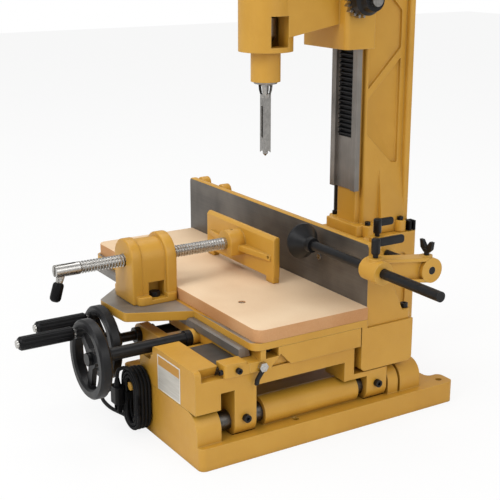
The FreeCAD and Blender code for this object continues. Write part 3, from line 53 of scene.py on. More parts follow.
def linear(code):
    """The linear colour of an sRGB hex code."""
    values = [int(code[i:i + 2], 16) / 255 for i in (0, 2, 4)]
    return [v / 12.92 if v <= 0.04045 else ((v + 0.055) / 1.055) ** 2.4 for v in values] + [1]


def add(tree, kind, settings=None, links=None):
    """A shader node with its settings and links. A setting is an attribute, an input or a ramp's stops."""
    made = tree.nodes.new("ShaderNode" + kind)
    for key, value in (settings or {}).items():
        if key == "stops":
            band = made.color_ramp.elements
            while len(band) < len(value):
                band.new(0.5)
            for element, (place, code) in zip(band, value):
                element.position = place
                element.color = linear(code)
        elif isinstance(key, str) and hasattr(made, key):
            setattr(made, key, value)
        else:
            made.inputs[key].default_value = value
    for key, source in (links or {}).items():
        tree.links.new(made.inputs[key], source)
    return made


def new_finish(name, **constants):
    """A new material with its constant shader values: its node tree, its shader and its object coordinates."""
    made = bpy.data.materials.new(name)
    made.use_nodes = True
    tree = made.node_tree
    surface = tree.nodes["Principled BSDF"]
    for key, value in constants.items():
        surface.inputs[key].default_value = value
    return made, tree, surface, add(tree, "TexCoord").outputs["Object"]


def dress(tree, surface, colour, roughness, normal):
    """Links a finish's colour, roughness and normal to its shader."""
    tree.links.new(surface.inputs["Base Color"], colour)
    tree.links.new(surface.inputs["Roughness"], roughness)
    tree.links.new(surface.inputs["Normal"], normal)


# ---- finishes ----

def sprayed_enamel():
    """Satin mustard enamel sprayed on sand-cast iron: a soft orange-peel grain, slow drifts of tone, thin paler
    edges that are partly wear and partly a painted highlight, and painted shade that darkens the inner corners."""
    made, tree, surface, where = new_finish("sprayed_enamel_on_cast_iron", IOR=1.5)
    # castings have edges rounded by about 2 mm
    soft = add(tree, "Bevel", {"samples": 6, "Radius": 0.0024}).outputs["Normal"]
    plain = add(tree, "NewGeometry")
    # drifts of tone are a hand's width across, 90 mm
    drift = add(tree, "TexNoise", {"Scale": 1 / 0.09, "Detail": 3}, {"Vector": where}).outputs["Fac"]
    tone = add(tree, "ValToRGB", {"stops": ((0.3, "BF8C2B"), (0.7, "CC9A38"))}, {"Fac": drift}).outputs["Color"]
    # painted highlight, partly wear: every rounded edge is mixed towards a paler mustard
    turned = add(tree, "VectorMath", {"operation": "DOT_PRODUCT"}, {0: soft, 1: plain.outputs["Normal"]})
    edge = add(tree, "MapRange", {"From Min": 0.995, "From Max": 0.86, "To Max": 0.55},
               {"Value": turned.outputs["Value"]}).outputs["Result"]
    edge_wear_and_highlight = add(tree, "Mix", {"data_type": "RGBA", 7: linear("DDB25A")}, {0: edge, 6: tone}).outputs[2]
    # painted shade: within 20 mm of an inner corner the enamel is mixed towards dark brown
    hidden = add(tree, "AmbientOcclusion", {"samples": 8, "Distance": 0.02}).outputs["AO"]
    corner_shade = add(tree, "MapRange", {"From Min": 0.75, "From Max": 0.2, "To Max": 0.45}, {"Value": hidden}).outputs["Result"]
    colour = add(tree, "Mix", {"data_type": "RGBA", 7: linear("86621E")}, {0: corner_shade, 6: edge_wear_and_highlight}).outputs[2]
    # the sand grain is 0.5 mm; it is drawn at 3 mm so that it shows
    grain = add(tree, "TexNoise", {"Scale": 1 / 0.003, "Detail": 3, "Roughness": 0.6}, {"Vector": where}).outputs["Fac"]
    normal = add(tree, "Bump", {"Distance": 0.00025}, {"Height": grain, "Normal": soft}).outputs["Normal"]
    patch = add(tree, "TexNoise", {"Scale": 1 / 0.02}, {"Vector": where}).outputs["Fac"]
    gloss = add(tree, "MapRange", {"To Min": 0.34, "To Max": 0.5}, {"Value": patch}).outputs["Result"]
    dress(tree, surface, colour, gloss, normal)
    return made


def ground_iron(name, dark, pale, along, metal):
    """Cast iron ground or milled flat: grey metal with fine parallel wheel marks and cloudy oil stains."""
    made, tree, surface, where = new_finish(name, Metallic=metal)
    soft = add(tree, "Bevel", {"samples": 4, "Radius": 0.0007}).outputs["Normal"]
    # wheel marks are 0.3 mm apart; they are drawn 1.2 mm apart so that they show
    fine = [1 / 0.12 if side == along else 1 / 0.0012 for side in range(3)]
    stretched = add(tree, "Mapping", {"Scale": fine}, {"Vector": where}).outputs["Vector"]
    marks = add(tree, "TexNoise", {"Scale": 1.0, "Detail": 2}, {"Vector": stretched}).outputs["Fac"]
    # oil stains are about 60 mm across
    cloud = add(tree, "TexNoise", {"Scale": 1 / 0.06, "Detail": 3}, {"Vector": where}).outputs["Fac"]
    both = add(tree, "Math", {"operation": "MULTIPLY_ADD", 1: 0.35}, {0: marks, 2: cloud}).outputs["Value"]
    colour = add(tree, "ValToRGB", {"stops": ((0.4, dark), (0.95, pale))}, {"Fac": both}).outputs["Color"]
    gloss = add(tree, "MapRange", {"To Min": 0.36, "To Max": 0.52}, {"Value": marks}).outputs["Result"]
    normal = add(tree, "Bump", {"Distance": 0.00004}, {"Height": marks, "Normal": soft}).outputs["Normal"]
    dress(tree, surface, colour, gloss, normal)
    return made


def turned_steel(name, dark, pale, rough):
    """Turned steel with a thin bright plating: faint scuffs from handling, and crisp bright edges."""
    made, tree, surface, where = new_finish(name, Metallic=1.0)
    # scuffs are about 4 mm long
    scuff = add(tree, "TexNoise", {"Scale": 1 / 0.004, "Detail": 4, "Roughness": 0.7}, {"Vector": where}).outputs["Fac"]
    colour = add(tree, "ValToRGB", {"stops": ((0.3, dark), (0.75, pale))}, {"Fac": scuff}).outputs["Color"]
    gloss = add(tree, "MapRange", {"To Min": rough, "To Max": rough + 0.14}, {"Value": scuff}).outputs["Result"]
    soft = add(tree, "Bevel", {"samples": 4, "Radius": 0.0005}).outputs["Normal"]
    dress(tree, surface, colour, gloss, soft)
    return made


def blackened_steel():
    """Steel with an oiled black oxide: near black, with a soft sheen, and a grey line along worn edges."""
    made, tree, surface, where = new_finish("black_oxide_steel", Metallic=0.1)
    surface.inputs["Specular IOR Level"].default_value = 0.3
    soft = add(tree, "Bevel", {"samples": 4, "Radius": 0.001}).outputs["Normal"]
    plain = add(tree, "NewGeometry").outputs["Normal"]
    turned = add(tree, "VectorMath", {"operation": "DOT_PRODUCT"}, {0: soft, 1: plain}).outputs["Value"]
    edge = add(tree, "MapRange", {"From Min": 0.99, "From Max": 0.8, "To Max": 0.7}, {"Value": turned}).outputs["Result"]
    # oil dries in patches about 12 mm across
    oil = add(tree, "TexNoise", {"Scale": 1 / 0.012, "Detail": 3}, {"Vector": where}).outputs["Fac"]
    tone = add(tree, "ValToRGB", {"stops": ((0.3, "0E0E0F"), (0.75, "1A1A1C"))}, {"Fac": oil}).outputs["Color"]
    colour = add(tree, "Mix", {"data_type": "RGBA", 7: linear("3A3A3D")}, {0: edge, 6: tone}).outputs[2]
    gloss = add(tree, "MapRange", {"To Min": 0.3, "To Max": 0.46}, {"Value": oil}).outputs["Result"]
    # the oxide's crystals are too fine to show and are drawn at 1.2 mm
    fine = add(tree, "TexNoise", {"Scale": 1 / 0.0012}, {"Vector": where}).outputs["Fac"]
    normal = add(tree, "Bump", {"Distance": 0.00003}, {"Height": fine, "Normal": soft}).outputs["Normal"]
    dress(tree, surface, colour, gloss, normal)
    return made


def moulded_black(name, dark, pale, rough, grain):
    """Moulded black plastic or rubber: its mould's spark-eroded grain, rubbed a little glossier where it is held."""
    made, tree, surface, where = new_finish(name, IOR=1.5)
    surface.inputs["Specular IOR Level"].default_value = 0.15
    soft = add(tree, "Bevel", {"samples": 4, "Radius": 0.001}).outputs["Normal"]
    fine = add(tree, "TexNoise", {"Scale": 1 / grain}, {"Vector": where}).outputs["Fac"]
    rubbed = add(tree, "TexNoise", {"Scale": 1 / 0.03}, {"Vector": where}).outputs["Fac"]
    colour = add(tree, "ValToRGB", {"stops": ((0.3, dark), (0.8, pale))}, {"Fac": rubbed}).outputs["Color"]
    gloss = add(tree, "MapRange", {"To Min": rough, "To Max": rough + 0.14}, {"Value": rubbed}).outputs["Result"]
    normal = add(tree, "Bump", {"Distance": 0.00006}, {"Height": fine, "Normal": soft}).outputs["Normal"]
    dress(tree, surface, colour, gloss, normal)
    return made


def fibre_board():
    """Pressed medium-density fibre board: a pale sanded face with fine flecks, and darker sawn edges that show
    loose fibres."""
    made, tree, surface, where = new_finish("pressed_fibre_board", IOR=1.45)
    # fibres are 0.3 mm wide; they are drawn at 2 mm so that they show
    fibres = add(tree, "TexNoise", {"Scale": 1 / 0.0022, "Detail": 5, "Roughness": 0.75}, {"Vector": where}).outputs["Fac"]
    # pressing leaves clouds about 110 mm across
    cloud = add(tree, "TexNoise", {"Scale": 1 / 0.11, "Detail": 2}, {"Vector": where}).outputs["Fac"]
    both = add(tree, "Math", {"operation": "MULTIPLY_ADD", 1: 0.5}, {0: fibres, 2: cloud}).outputs["Value"]
    face = add(tree, "ValToRGB", {"stops": ((0.5, "DDBD98"), (1.0, "EBD1AF"))}, {"Fac": both}).outputs["Color"]
    edge = add(tree, "ValToRGB", {"stops": ((0.5, "B9824F"), (1.0, "D0A071"))}, {"Fac": both}).outputs["Color"]
    upward = add(tree, "SeparateXYZ", {}, {"Vector": add(tree, "NewGeometry").outputs["Normal"]}).outputs["Z"]
    flat = add(tree, "MapRange", {"From Min": 0.6, "From Max": 0.9}, {"Value": upward}).outputs["Result"]
    colour = add(tree, "Mix", {"data_type": "RGBA"}, {0: flat, 6: edge, 7: face}).outputs[2]
    gloss = add(tree, "MapRange", {"To Min": 0.62, "To Max": 0.8}, {"Value": fibres}).outputs["Result"]
    soft = add(tree, "Bevel", {"samples": 4, "Radius": 0.001}).outputs["Normal"]
    normal = add(tree, "Bump", {"Distance": 0.00008}, {"Height": fibres, "Normal": soft}).outputs["Normal"]
    dress(tree, surface, colour, gloss, normal)
    return made


def plate_foil():
    """A blank rating plate: pale anodised foil with a mustard band along its top and a thin bare border."""
    made, tree, surface, where = new_finish("anodised_foil_plate", Metallic=0.3)
    low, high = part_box("rating_plate")
    spot = add(tree, "SeparateXYZ", {}, {"Vector": where})
    band = add(tree, "Math", {"operation": "GREATER_THAN", 1: high.z - 0.016}, {0: spot.outputs["Z"]}).outputs["Value"]
    # rolling streaks in the foil are 2 mm apart
    streak = add(tree, "Mapping", {"Scale": (1 / 0.04, 1, 1 / 0.002)}, {"Vector": where}).outputs["Vector"]
    rolled = add(tree, "TexNoise", {"Scale": 1.0}, {"Vector": streak}).outputs["Fac"]
    foil = add(tree, "ValToRGB", {"stops": ((0.3, "BDB8AE"), (0.8, "D5D1C8"))}, {"Fac": rolled}).outputs["Color"]
    top = add(tree, "Mix", {"data_type": "RGBA", 7: linear("C58E33")}, {0: band, 6: foil}).outputs[2]
    middle = (low + high) / 2
    inside = []
    for side, key in ((0, "X"), (2, "Z")):
        half = (high[side] - low[side]) / 2 - 0.002
        off = add(tree, "Math", {"operation": "SUBTRACT", 1: middle[side]}, {0: spot.outputs[key]}).outputs["Value"]
        away = add(tree, "Math", {"operation": "ABSOLUTE"}, {0: off}).outputs["Value"]
        inside.append(add(tree, "Math", {"operation": "LESS_THAN", 1: half}, {0: away}).outputs["Value"])
    field = add(tree, "Math", {"operation": "MULTIPLY"}, {0: inside[0], 1: inside[1]}).outputs["Value"]
    colour = add(tree, "Mix", {"data_type": "RGBA", 6: linear("E4E1DA")}, {0: field, 7: top}).outputs[2]
    gloss = add(tree, "MapRange", {"To Min": 0.34, "To Max": 0.48}, {"Value": rolled}).outputs["Result"]
    soft = add(tree, "Bevel", {"samples": 4, "Radius": 0.0004}).outputs["Normal"]
    dress(tree, surface, colour, gloss, soft)
    return made


PAINT = sprayed_enamel()
FACE = ground_iron("surface_ground_cast_iron", "4D4945", "756F68", 0, 0.5)
WAY = ground_iron("way_ground_cast_iron", "6E6A66", "97918A", 2, 0.6)
MACHINED = ground_iron("milled_cast_iron", "7C7770", "B0A99F", 1, 0.6)
# the milled iron of the cradle's dovetail way is given a darker grey
DOVETAIL = ground_iron("dark_milled_cast_iron", "3A3632", "625C55", 1, 0.5)
ZINC = turned_steel("zinc_plated_steel", "A3A19D", "CCCAC6", 0.2)
TOOL = turned_steel("hardened_tool_steel", "8A8885", "B4B1AD", 0.24)
SHAFT = turned_steel("oiled_bright_shafting", "4A4846", "77746F", 0.3)
OXIDE = blackened_steel()
PLASTIC = moulded_black("moulded_nylon", "0A0A0B", "141416", 0.34, 0.0012)
VINYL = moulded_black("dipped_vinyl", "0A0A0B", "151517", 0.3, 0.0016)
RUBBER = moulded_black("extruded_cord_rubber", "0D0D0E", "18181A", 0.46, 0.001)
NYLON = moulded_black("woven_hook_and_loop", "0E0E0F", "1C1C1E", 0.7, 0.0015)
BOARD = fibre_board()
# painted shade: a near-black brown laid on the cradle's hollow underside, where shade falls
HOLLOW_SHADE = moulded_black("painted_shade_under_cradle", "2A2118", "3D3020", 0.7, 0.003)
PLATE = plate_foil()

FINISHES = {
    "casting_paint": PAINT, "ground_iron": WAY, "bright_steel": ZINC, "tool_steel": TOOL, "black_steel": OXIDE,
    "black_plastic": PLASTIC, "grip_vinyl": VINYL, "board_mdf": BOARD, "plate_label": PLATE, "cord_rubber": RUBBER,
}


def coat(node, finish, *areas):
    """Gives a CAD node its finish, and other finishes to the faces whose centre and normal pass a test."""
    mesh = nodes[node].data
    mesh.materials.clear()
    mesh.materials.append(finish)
    for other, _ in areas:
        mesh.materials.append(other)
    for face in mesh.polygons:
        face.material_index = 0
        for number, (_, test) in enumerate(areas, 1):
            if test(face.center, face.normal):
                face.material_index = number


for row in frame["record"]["subparts"]:
    coat(row["node"], FINISHES[row["material_slot"]])

table_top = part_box("board")[0].z
board_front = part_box("board")[0].y
fence_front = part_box("board")[1].y
deck_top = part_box("saddle")[0].z
tower_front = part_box("tilt_clamps")[0].y
coat("fence", PAINT, (FACE, lambda c, n: n.y < -0.9 and abs(c.y - fence_front) < 0.001))
coat("table", PAINT, (MACHINED, lambda c, n: n.z > 0.9 and abs(c.z - table_top) < 0.0005 and c.y < board_front))
cradle_low, cradle_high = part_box("cradle")
# painted shade: the cradle's underside and the right-facing sides in its hollow take the near-black shade finish
coat("cradle", PAINT,
     (HOLLOW_SHADE, lambda c, n: (n.z < -0.7 and c.z > cradle_low.z + 0.004) or (n.x > 0.9 and c.x < 0.19 and c.z < 0.124)),
     (DOVETAIL, lambda c, n: 0.121 < c.x < 0.223 and c.z > deck_top - 0.0008 and c.y > -0.2325))
coat("gib_screws", OXIDE, (ZINC, lambda c, n: c.y > -0.173 and c.z > 0.1308))
coat("fence_screws", OXIDE, (ZINC, lambda c, n: c.y < fence_front + 0.001))
coat("hinge_shaft", SHAFT)
coat("way_bar", WAY)
coat("motor", PLASTIC)


# ---- modelling helpers ----

def finish_mesh(piece, angle=30):
    """Merges doubles, turns faces outwards and smooths the faces that meet at less than an angle."""
    bpy.ops.object.select_all(action="DESELECT")
    bpy.context.view_layer.objects.active = piece
    piece.select_set(True)
    bpy.ops.object.transform_apply(location=True, rotation=True, scale=True)
    bpy.ops.object.mode_set(mode="EDIT")
    bpy.ops.mesh.select_all(action="SELECT")
    bpy.ops.mesh.remove_doubles(threshold=0.000005)
    bpy.ops.mesh.normals_make_consistent(inside=False)
    bpy.ops.object.mode_set(mode="OBJECT")
    bpy.ops.object.shade_smooth_by_angle(angle=math.radians(angle))
    piece.select_set(False)
    return piece


def settle(piece, body, finish, slot, *stands_for):
    """Gives a piece its finish and body, and hides the CAD nodes that it stands for; its slot is not used."""
    piece.data.materials.clear()
    piece.data.materials.append(finish)
    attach(piece, body)
    if stands_for:
        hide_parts(*stands_for)
    return piece


def join(name, pieces):
    """One object from several."""
    bpy.ops.object.select_all(action="DESELECT")
    for piece in pieces:
        piece.select_set(True)
    bpy.context.view_layer.objects.active = pieces[0]
    bpy.ops.object.join()
    pieces[0].name = name
    return pieces[0]


def cut_copy(node, low, high):
    """A copy of a CAD node, kept between two places along Y and closed there."""
    piece = bpy.data.objects.new(node + "_cut", nodes[node].data.copy())
    bpy.context.collection.objects.link(piece)
    finish_mesh(piece)
    bpy.context.view_layer.objects.active = piece
    piece.select_set(True)
    bpy.ops.object.mode_set(mode="EDIT")
    for place, inner, outer in ((low, True, False), (high, False, True)):
        bpy.ops.mesh.select_all(action="SELECT")
        bpy.ops.mesh.bisect(plane_co=(0, place, 0), plane_no=(0, 1, 0), use_fill=True,
                            clear_inner=inner, clear_outer=outer)
    bpy.ops.object.mode_set(mode="OBJECT")
    piece.select_set(False)
    return piece


def thread(name, x, z, crest, depth, pitch, low, turns):
    """A threaded length of a rod along Y: one tooth's outline, swept round the axis and along it."""
    bpy.ops.mesh.primitive_circle_add(vertices=6, radius=crest)
    piece = bpy.context.object
    piece.name = name
    root = crest - depth
    outline = ((root, 0), (root, 0.14), (crest, 0.40), (crest, 0.60), (root, 0.86), (root, 1))
    for corner, (r, share) in zip(piece.data.vertices, outline):
        corner.co = (r, share * pitch, 0)
    bpy.ops.object.mode_set(mode="EDIT")
    bpy.ops.mesh.select_mode(type="EDGE")
    bpy.ops.mesh.select_all(action="DESELECT")
    bpy.ops.object.mode_set(mode="OBJECT")
    for edge in piece.data.edges:
        edge.select = set(edge.vertices) == {0, 5}
    bpy.ops.object.mode_set(mode="EDIT")
    bpy.ops.mesh.delete(type="EDGE")
    bpy.ops.object.mode_set(mode="OBJECT")
    sweep = piece.modifiers.new("sweep", "SCREW")
    sweep.axis = "Y"
    sweep.screw_offset = pitch
    sweep.iterations = turns
    sweep.steps = sweep.render_steps = 28
    sweep.use_merge_vertices = True
    sweep.merge_threshold = 0.00001
    bpy.ops.object.modifier_apply(modifier="sweep")
    piece.location = (x, low, z)
    finish_mesh(piece, 40)
    bpy.context.view_layer.objects.active = piece
    piece.select_set(True)
    bpy.ops.object.mode_set(mode="EDIT")
    bpy.ops.mesh.select_all(action="DESELECT")
    bpy.ops.mesh.select_non_manifold()
    bpy.ops.mesh.edge_face_add()
    bpy.ops.object.mode_set(mode="OBJECT")
    piece.select_set(False)
    return piece


# ---- the vise screw with its thread ----

VISE_X, VISE_Z = -43.5, 240
SCREW_X, SCREW_Z = VISE_X / 1000, VISE_Z / 1000
screw_front, screw_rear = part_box("vise_screw")[0].y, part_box("vise_screw")[1].y
slot_end = screw_front + 0.036
jaw_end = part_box("jaw")[0].y - 0.0004
turns = int((jaw_end - slot_end) / 0.005)
fork = cut_copy("vise_screw", screw_front - 0.001, slot_end + 0.004)
nose = cut_copy("vise_screw", slot_end + turns * 0.005 - 0.003, screw_rear + 0.001)
tooth = thread("vise_thread", SCREW_X, SCREW_Z, 0.00996, 0.0017, 0.005, slot_end, turns)
vise_screw = join("vise_screw_threaded", [tooth, fork, nose])
settle(finish_mesh(vise_screw, 40), "vise_screw", ZINC, "bright_steel", "vise_screw")


# ---- castings and levers shaped more closely than their solids; outlines are in millimetres ----

MM = 0.001


def place(axis, along, a, b):
    """A point in metres from its place along an axis and its two other coordinates, in millimetres."""
    return [v * MM for v in {"x": (along, a, b), "y": (a, along, b), "z": (a, b, along)}[axis]]


def solid(name, axis, outline, low, high, soft=0.0):
    """A solid of one outline along an axis, with its edges rounded."""
    bpy.ops.mesh.primitive_circle_add(vertices=len(outline), fill_type="NGON")
    piece = bpy.context.object
    piece.name = name
    for corner, (a, b) in zip(piece.data.vertices, outline):
        corner.co = place(axis, low, a, b)
    bpy.ops.object.mode_set(mode="EDIT")
    bpy.ops.mesh.select_all(action="SELECT")
    bpy.ops.mesh.extrude_region_move(TRANSFORM_OT_translate={"value": place(axis, high - low, 0, 0)})
    bpy.ops.object.mode_set(mode="OBJECT")
    if soft:
        edge = piece.modifiers.new("soft", "BEVEL")
        edge.width = soft * MM
        edge.segments = 3
        edge.limit_method = "ANGLE"
        edge.angle_limit = math.radians(40)
        bpy.ops.object.modifier_apply(modifier="soft")
    return finish_mesh(piece)


def arc(a, b, radius, start, end, count):
    """Points on an arc, between two angles in degrees."""
    angles = [math.radians(start + (end - start) * i / count) for i in range(count + 1)]
    return [(a + radius * math.cos(t), b + radius * math.sin(t)) for t in angles]


def round_bar(name, axis, a, b, radius, low, high, soft=0.0):
    """A round bar along an axis."""
    return solid(name, axis, arc(a, b, radius, 0, 352.5, 47), low, high, soft)


def rounded_box(a_span, b_span, radius):
    """The outline of a rectangle with round corners."""
    (a0, a1), (b0, b1) = a_span, b_span
    return (arc(a1 - radius, b1 - radius, radius, 0, 90, 5) + arc(a0 + radius, b1 - radius, radius, 90, 180, 5)
            + arc(a0 + radius, b0 + radius, radius, 180, 270, 5) + arc(a1 - radius, b0 + radius, radius, 270, 360, 5))


def lathe(name, axis, profile, a, b):
    """A solid of revolution from a profile of (place along the axis, radius) pairs that starts and ends on it."""
    bpy.ops.mesh.primitive_circle_add(vertices=len(profile))
    piece = bpy.context.object
    piece.name = name
    for corner, (along, radius) in zip(piece.data.vertices, profile):
        corner.co = place(axis, along, radius, 0)
    bpy.ops.object.mode_set(mode="EDIT")
    bpy.ops.mesh.select_mode(type="EDGE")
    bpy.ops.mesh.select_all(action="DESELECT")
    bpy.ops.object.mode_set(mode="OBJECT")
    for edge in piece.data.edges:
        edge.select = set(edge.vertices) == {0, len(profile) - 1}
    bpy.ops.object.mode_set(mode="EDIT")
    bpy.ops.mesh.delete(type="EDGE")
    bpy.ops.object.mode_set(mode="OBJECT")
    sweep = piece.modifiers.new("sweep", "SCREW")
    sweep.axis = axis.upper()
    sweep.steps = sweep.render_steps = 40
    sweep.use_merge_vertices = True
    sweep.merge_threshold = 0.00001
    bpy.ops.object.modifier_apply(modifier="sweep")
    piece.location = place(axis, 0, a, b)
    return finish_mesh(piece)


def combine(kind, piece, *others):
    """One solid from several, by UNION, or a solid with others cut out of it, by DIFFERENCE."""
    for other in others:
        step = piece.modifiers.new("step", "BOOLEAN")
        step.operation = kind
        step.solver = "EXACT"
        step.object = other
        bpy.context.view_layer.objects.active = piece
        bpy.ops.object.modifier_apply(modifier="step")
        bpy.data.objects.remove(other, do_unlink=True)
    return finish_mesh(piece)


# the jaw: a bevelled plate, a rib that tapers from the boss to each end, two feet
JAW_X, JAW_Y, JAW_Z = (-151.5, 64.5), (-33.6, -21.7), (201, 270)
y0, y1 = JAW_Y
foot_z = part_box("jaw")[0].z / MM
jaw = solid("jaw_casting", "x", [(y0, JAW_Z[0]), (y1, JAW_Z[0]), (y1, JAW_Z[1] - 3), (y1 - 3, JAW_Z[1]),
                                 (y0 + 4, JAW_Z[1]), (y0, JAW_Z[1] - 5)], *JAW_X, 1.2)
boss = solid("boss", "y", arc(VISE_X, VISE_Z, 22, 0, 180, 24) + [(VISE_X - 22, 222), (VISE_X + 22, 222)],
             y0 - 28, y0 + 1, 1.5)
ribs = [solid("rib", "z", [(VISE_X, y0 - 17), (end, y0 - 3), (end, y0 + 1), (VISE_X, y0 + 1)], 229, 239, 1.2)
        for end in (JAW_X[0] + 14, JAW_X[1] - 8)]
feet = [solid("foot", "x", [(y0, foot_z), (y1, foot_z), (y1, JAW_Z[0] + 3), (y0, JAW_Z[0] + 3)], x, x + 22, 1.2)
        for x in (JAW_X[0] + 1, JAW_X[1] - 23)]
jaw = combine("UNION", jaw, boss, *ribs, *feet)
holes = [round_bar("hole", "y", x, 235.5, 2.6, y0 - 10, y1 + 1) for x in (JAW_X[0] + 12, JAW_X[1] - 12)]
jaw = combine("DIFFERENCE", jaw, *holes, round_bar("seat", "y", VISE_X, VISE_Z, 8.2, y0 - 29, y0 - 6),
              round_bar("grub", "z", VISE_X, y0 - 14, 3, 253, 264))
settle(jaw, "jaw", PAINT, "casting_paint", "jaw")

# the vise screw's folding lever: a flat link on its pin, and a dipped grip that leans to the front
LEAN = math.radians(17)
PIN_Y, PIN_Z = -353, VISE_Z


def leaning(down, across):
    """A point on the lever, from its distance below the pin and across the link."""
    return (PIN_Y - down * math.sin(LEAN) + across * math.cos(LEAN),
            PIN_Z - down * math.cos(LEAN) - across * math.sin(LEAN))


eye = [leaning(7 * math.sin(math.radians(t)), 7 * math.cos(math.radians(t))) for t in range(0, -181, -15)]
link = solid("link", "x", eye + [leaning(24, -4.5), leaning(24, 4.5)], VISE_X - 3, VISE_X + 3, 0.6)
rivet = round_bar("rivet", "x", *leaning(16.2, 0), 3.6, VISE_X - 6, VISE_X + 6, 0.8)
settle(combine("UNION", link, rivet), "vise_handle", ZINC, "bright_steel", "vise_handle")
grip = lathe("lever_grip", "z", [(-20, 0), (-20, 6), (-21.5, 8), (-24, 8.7), (-44, 9), (-47.5, 8.2),
                                 (-50, 5.5), (-50.8, 0)], 0, 0)
grip.rotation_euler.x = -LEAN
grip.location = (VISE_X * MM, PIN_Y * MM, PIN_Z * MM)
settle(finish_mesh(grip), "vise_handle", VINYL, "grip_vinyl", "vise_grip")

# the stop's clamping levers: a stud, a slim hub and a flat upright paddle that runs to the rear
for node, length in (("upper_lever", 31), ("lower_lever", 51)):
    low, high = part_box(node)
    x, y, seat, top = (low.x + high.x) / 2 / MM, low.y / MM + 10, low.z / MM, high.z / MM
    stud = round_bar(node + "_clamp", "z", x, y, 4, seat, seat + 8)
    hub = lathe("hub", "z", [(seat + 5, 0), (seat + 5, 5.5), (seat + 7, 6.6), (top - 2, 6.6), (top, 4.6), (top, 0)], x, y)
    paddle = solid("paddle", "x", rounded_box((y, y + length), (top - 13.5, top - 1), 4.5), x - 2.4, x + 2.4, 0.9)
    settle(combine("UNION", stud, hub, paddle), node, OXIDE, "black_steel", node)


# the column: a box with a toothed rack's pocket, recesses between zigzag ribs, a rear flange and two buttresses
FOOT = (239, 259)
column = solid("column_casting", "z", rounded_box((-34, 34), (168, 256), 5), FOOT[0], 790)
neck = solid("neck", "z", rounded_box((-25, 25), (158, 180), 1), FOOT[0], 790)
flange = solid("flange", "z", rounded_box((-44, 44), (250, 262), 4), FOOT[0], 790)
foot = solid("foot", "z", rounded_box((-44, 44), (148, 262), 3), *FOOT, 1.5)
bosses = [round_bar("boss", "z", x, y, 10, *FOOT, 1.5) for x in (-47, 47) for y in (170, 242)]
buttresses = [solid("buttress", "y", [(side * 30, 257), (side * 44, 257), (side * 44, 266), (side * 33.5, 366),
                                      (side * 30, 366)], 202, 252, 1.2) for side in (-1, 1)]
column = combine("UNION", column, neck, flange, foot, *bosses, *buttresses)
CELLS = [[(173, 414), (228, 360), (240, 360), (240, 539), (173, 472)],
         [(173, 489), (240, 556), (240, 617), (173, 684)],
         [(173, 701), (240, 634), (240, 776), (173, 776)]]
recesses = [solid("recess", "x", cell, side * 36 - 8, side * 36 + 8, 2) for cell in CELLS for side in (-1, 1)]
pocket = solid("pocket", "z", [(-20, 150), (20, 150), (20, 166), (-20, 166)], 407, 770)
settle(combine("DIFFERENCE", column, *recesses, pocket), "base", PAINT, "casting_paint", "column")

# the vise's arched nut casting: two end flanges, a waisted middle, a foot with its bolt pocket
table_z = table_top / MM
VISE_FRONT, VISE_REAR, BOLT_Y = -249, -172.4, -206.7


def arch(name, centre, radius, low, high, soft):
    """A flange with a round top that stands on the table."""
    outline = arc(VISE_X, centre, radius, 0, 180, 28) + [(VISE_X - radius, table_z), (VISE_X + radius, table_z)]
    return solid(name, "y", outline, low, high, soft)


vise = combine("UNION", arch("vise_casting", VISE_Z + 2, 33, VISE_FRONT, VISE_FRONT + 18, 2.5),
               arch("rear", VISE_Z, 38, VISE_REAR - 18, VISE_REAR, 2.5),
               arch("middle", VISE_Z, 31.5, VISE_FRONT + 8, VISE_REAR - 8, 0),
               solid("foot", "z", rounded_box((VISE_X - 55, VISE_X + 43), (VISE_FRONT + 6, VISE_REAR), 9),
                     table_z, table_z + 14, 1.5),
               round_bar("pad", "y", VISE_X - 45, table_z + 20, 12, VISE_REAR - 26, VISE_REAR, 1.5))
pocket = solid("pocket", "z", rounded_box((VISE_X + 8, VISE_X + 60), (BOLT_Y - 14, BOLT_Y + 14), 3),
               table_z + 8, table_z + 34)
vise = combine("DIFFERENCE", vise, pocket, round_bar("bore", "y", VISE_X, VISE_Z, 10.3, -260, -160))
settle(vise, "table", PAINT, "casting_paint", "vise_body")

# the chisel: a disc, four legs that flare from the blade, and a square blade with a chip slot and pointed corners
TOOL_Y, BLADE, TIP, DISC = -9, 6.35, 397, 508.5
chisel = lathe("mortise_chisel", "z", [(486, 0), (486, 7.4), (490, 8.2), (498, 10.6), (505, 11.4), (DISC, 11.5),
                                       (DISC, 18.4), (DISC + 0.8, 19), (511.6, 19), (511.6, 9.8), (563, 9.8),
                                       (563, 0)], 0, TOOL_Y)
blade = solid("blade", "z", [(-BLADE, TOOL_Y - BLADE), (BLADE, TOOL_Y - BLADE), (BLADE, TOOL_Y + BLADE),
                             (-BLADE, TOOL_Y + BLADE)], TIP, 492, 0)
cuts = [round_bar("bore", "z", 0, TOOL_Y, 4.9, TIP - 1, 565),
        lathe("mouth", "z", [(TIP - 1, 0), (TIP - 1, 9.2), (TIP + 5.5, 4.6), (TIP + 5.5, 0)], 0, TOOL_Y),
        solid("slot", "y", rounded_box((-2.6, 2.6), (TIP + 24, TIP + 76), 2.5), TOOL_Y - 12, TOOL_Y),
        solid("gap", "x", arc(TOOL_Y, 503, 5, 0, 180, 10) + [(TOOL_Y - 4, 492), (TOOL_Y + 4, 492)], -15, 15),
        solid("gap", "y", arc(0, 503, 5, 0, 180, 10) + [(-4, 492), (4, 492)], TOOL_Y - 15, TOOL_Y + 15)]
settle(combine("DIFFERENCE", combine("UNION", chisel, blade), *cuts), "head", TOOL, "tool_steel", "chisel")


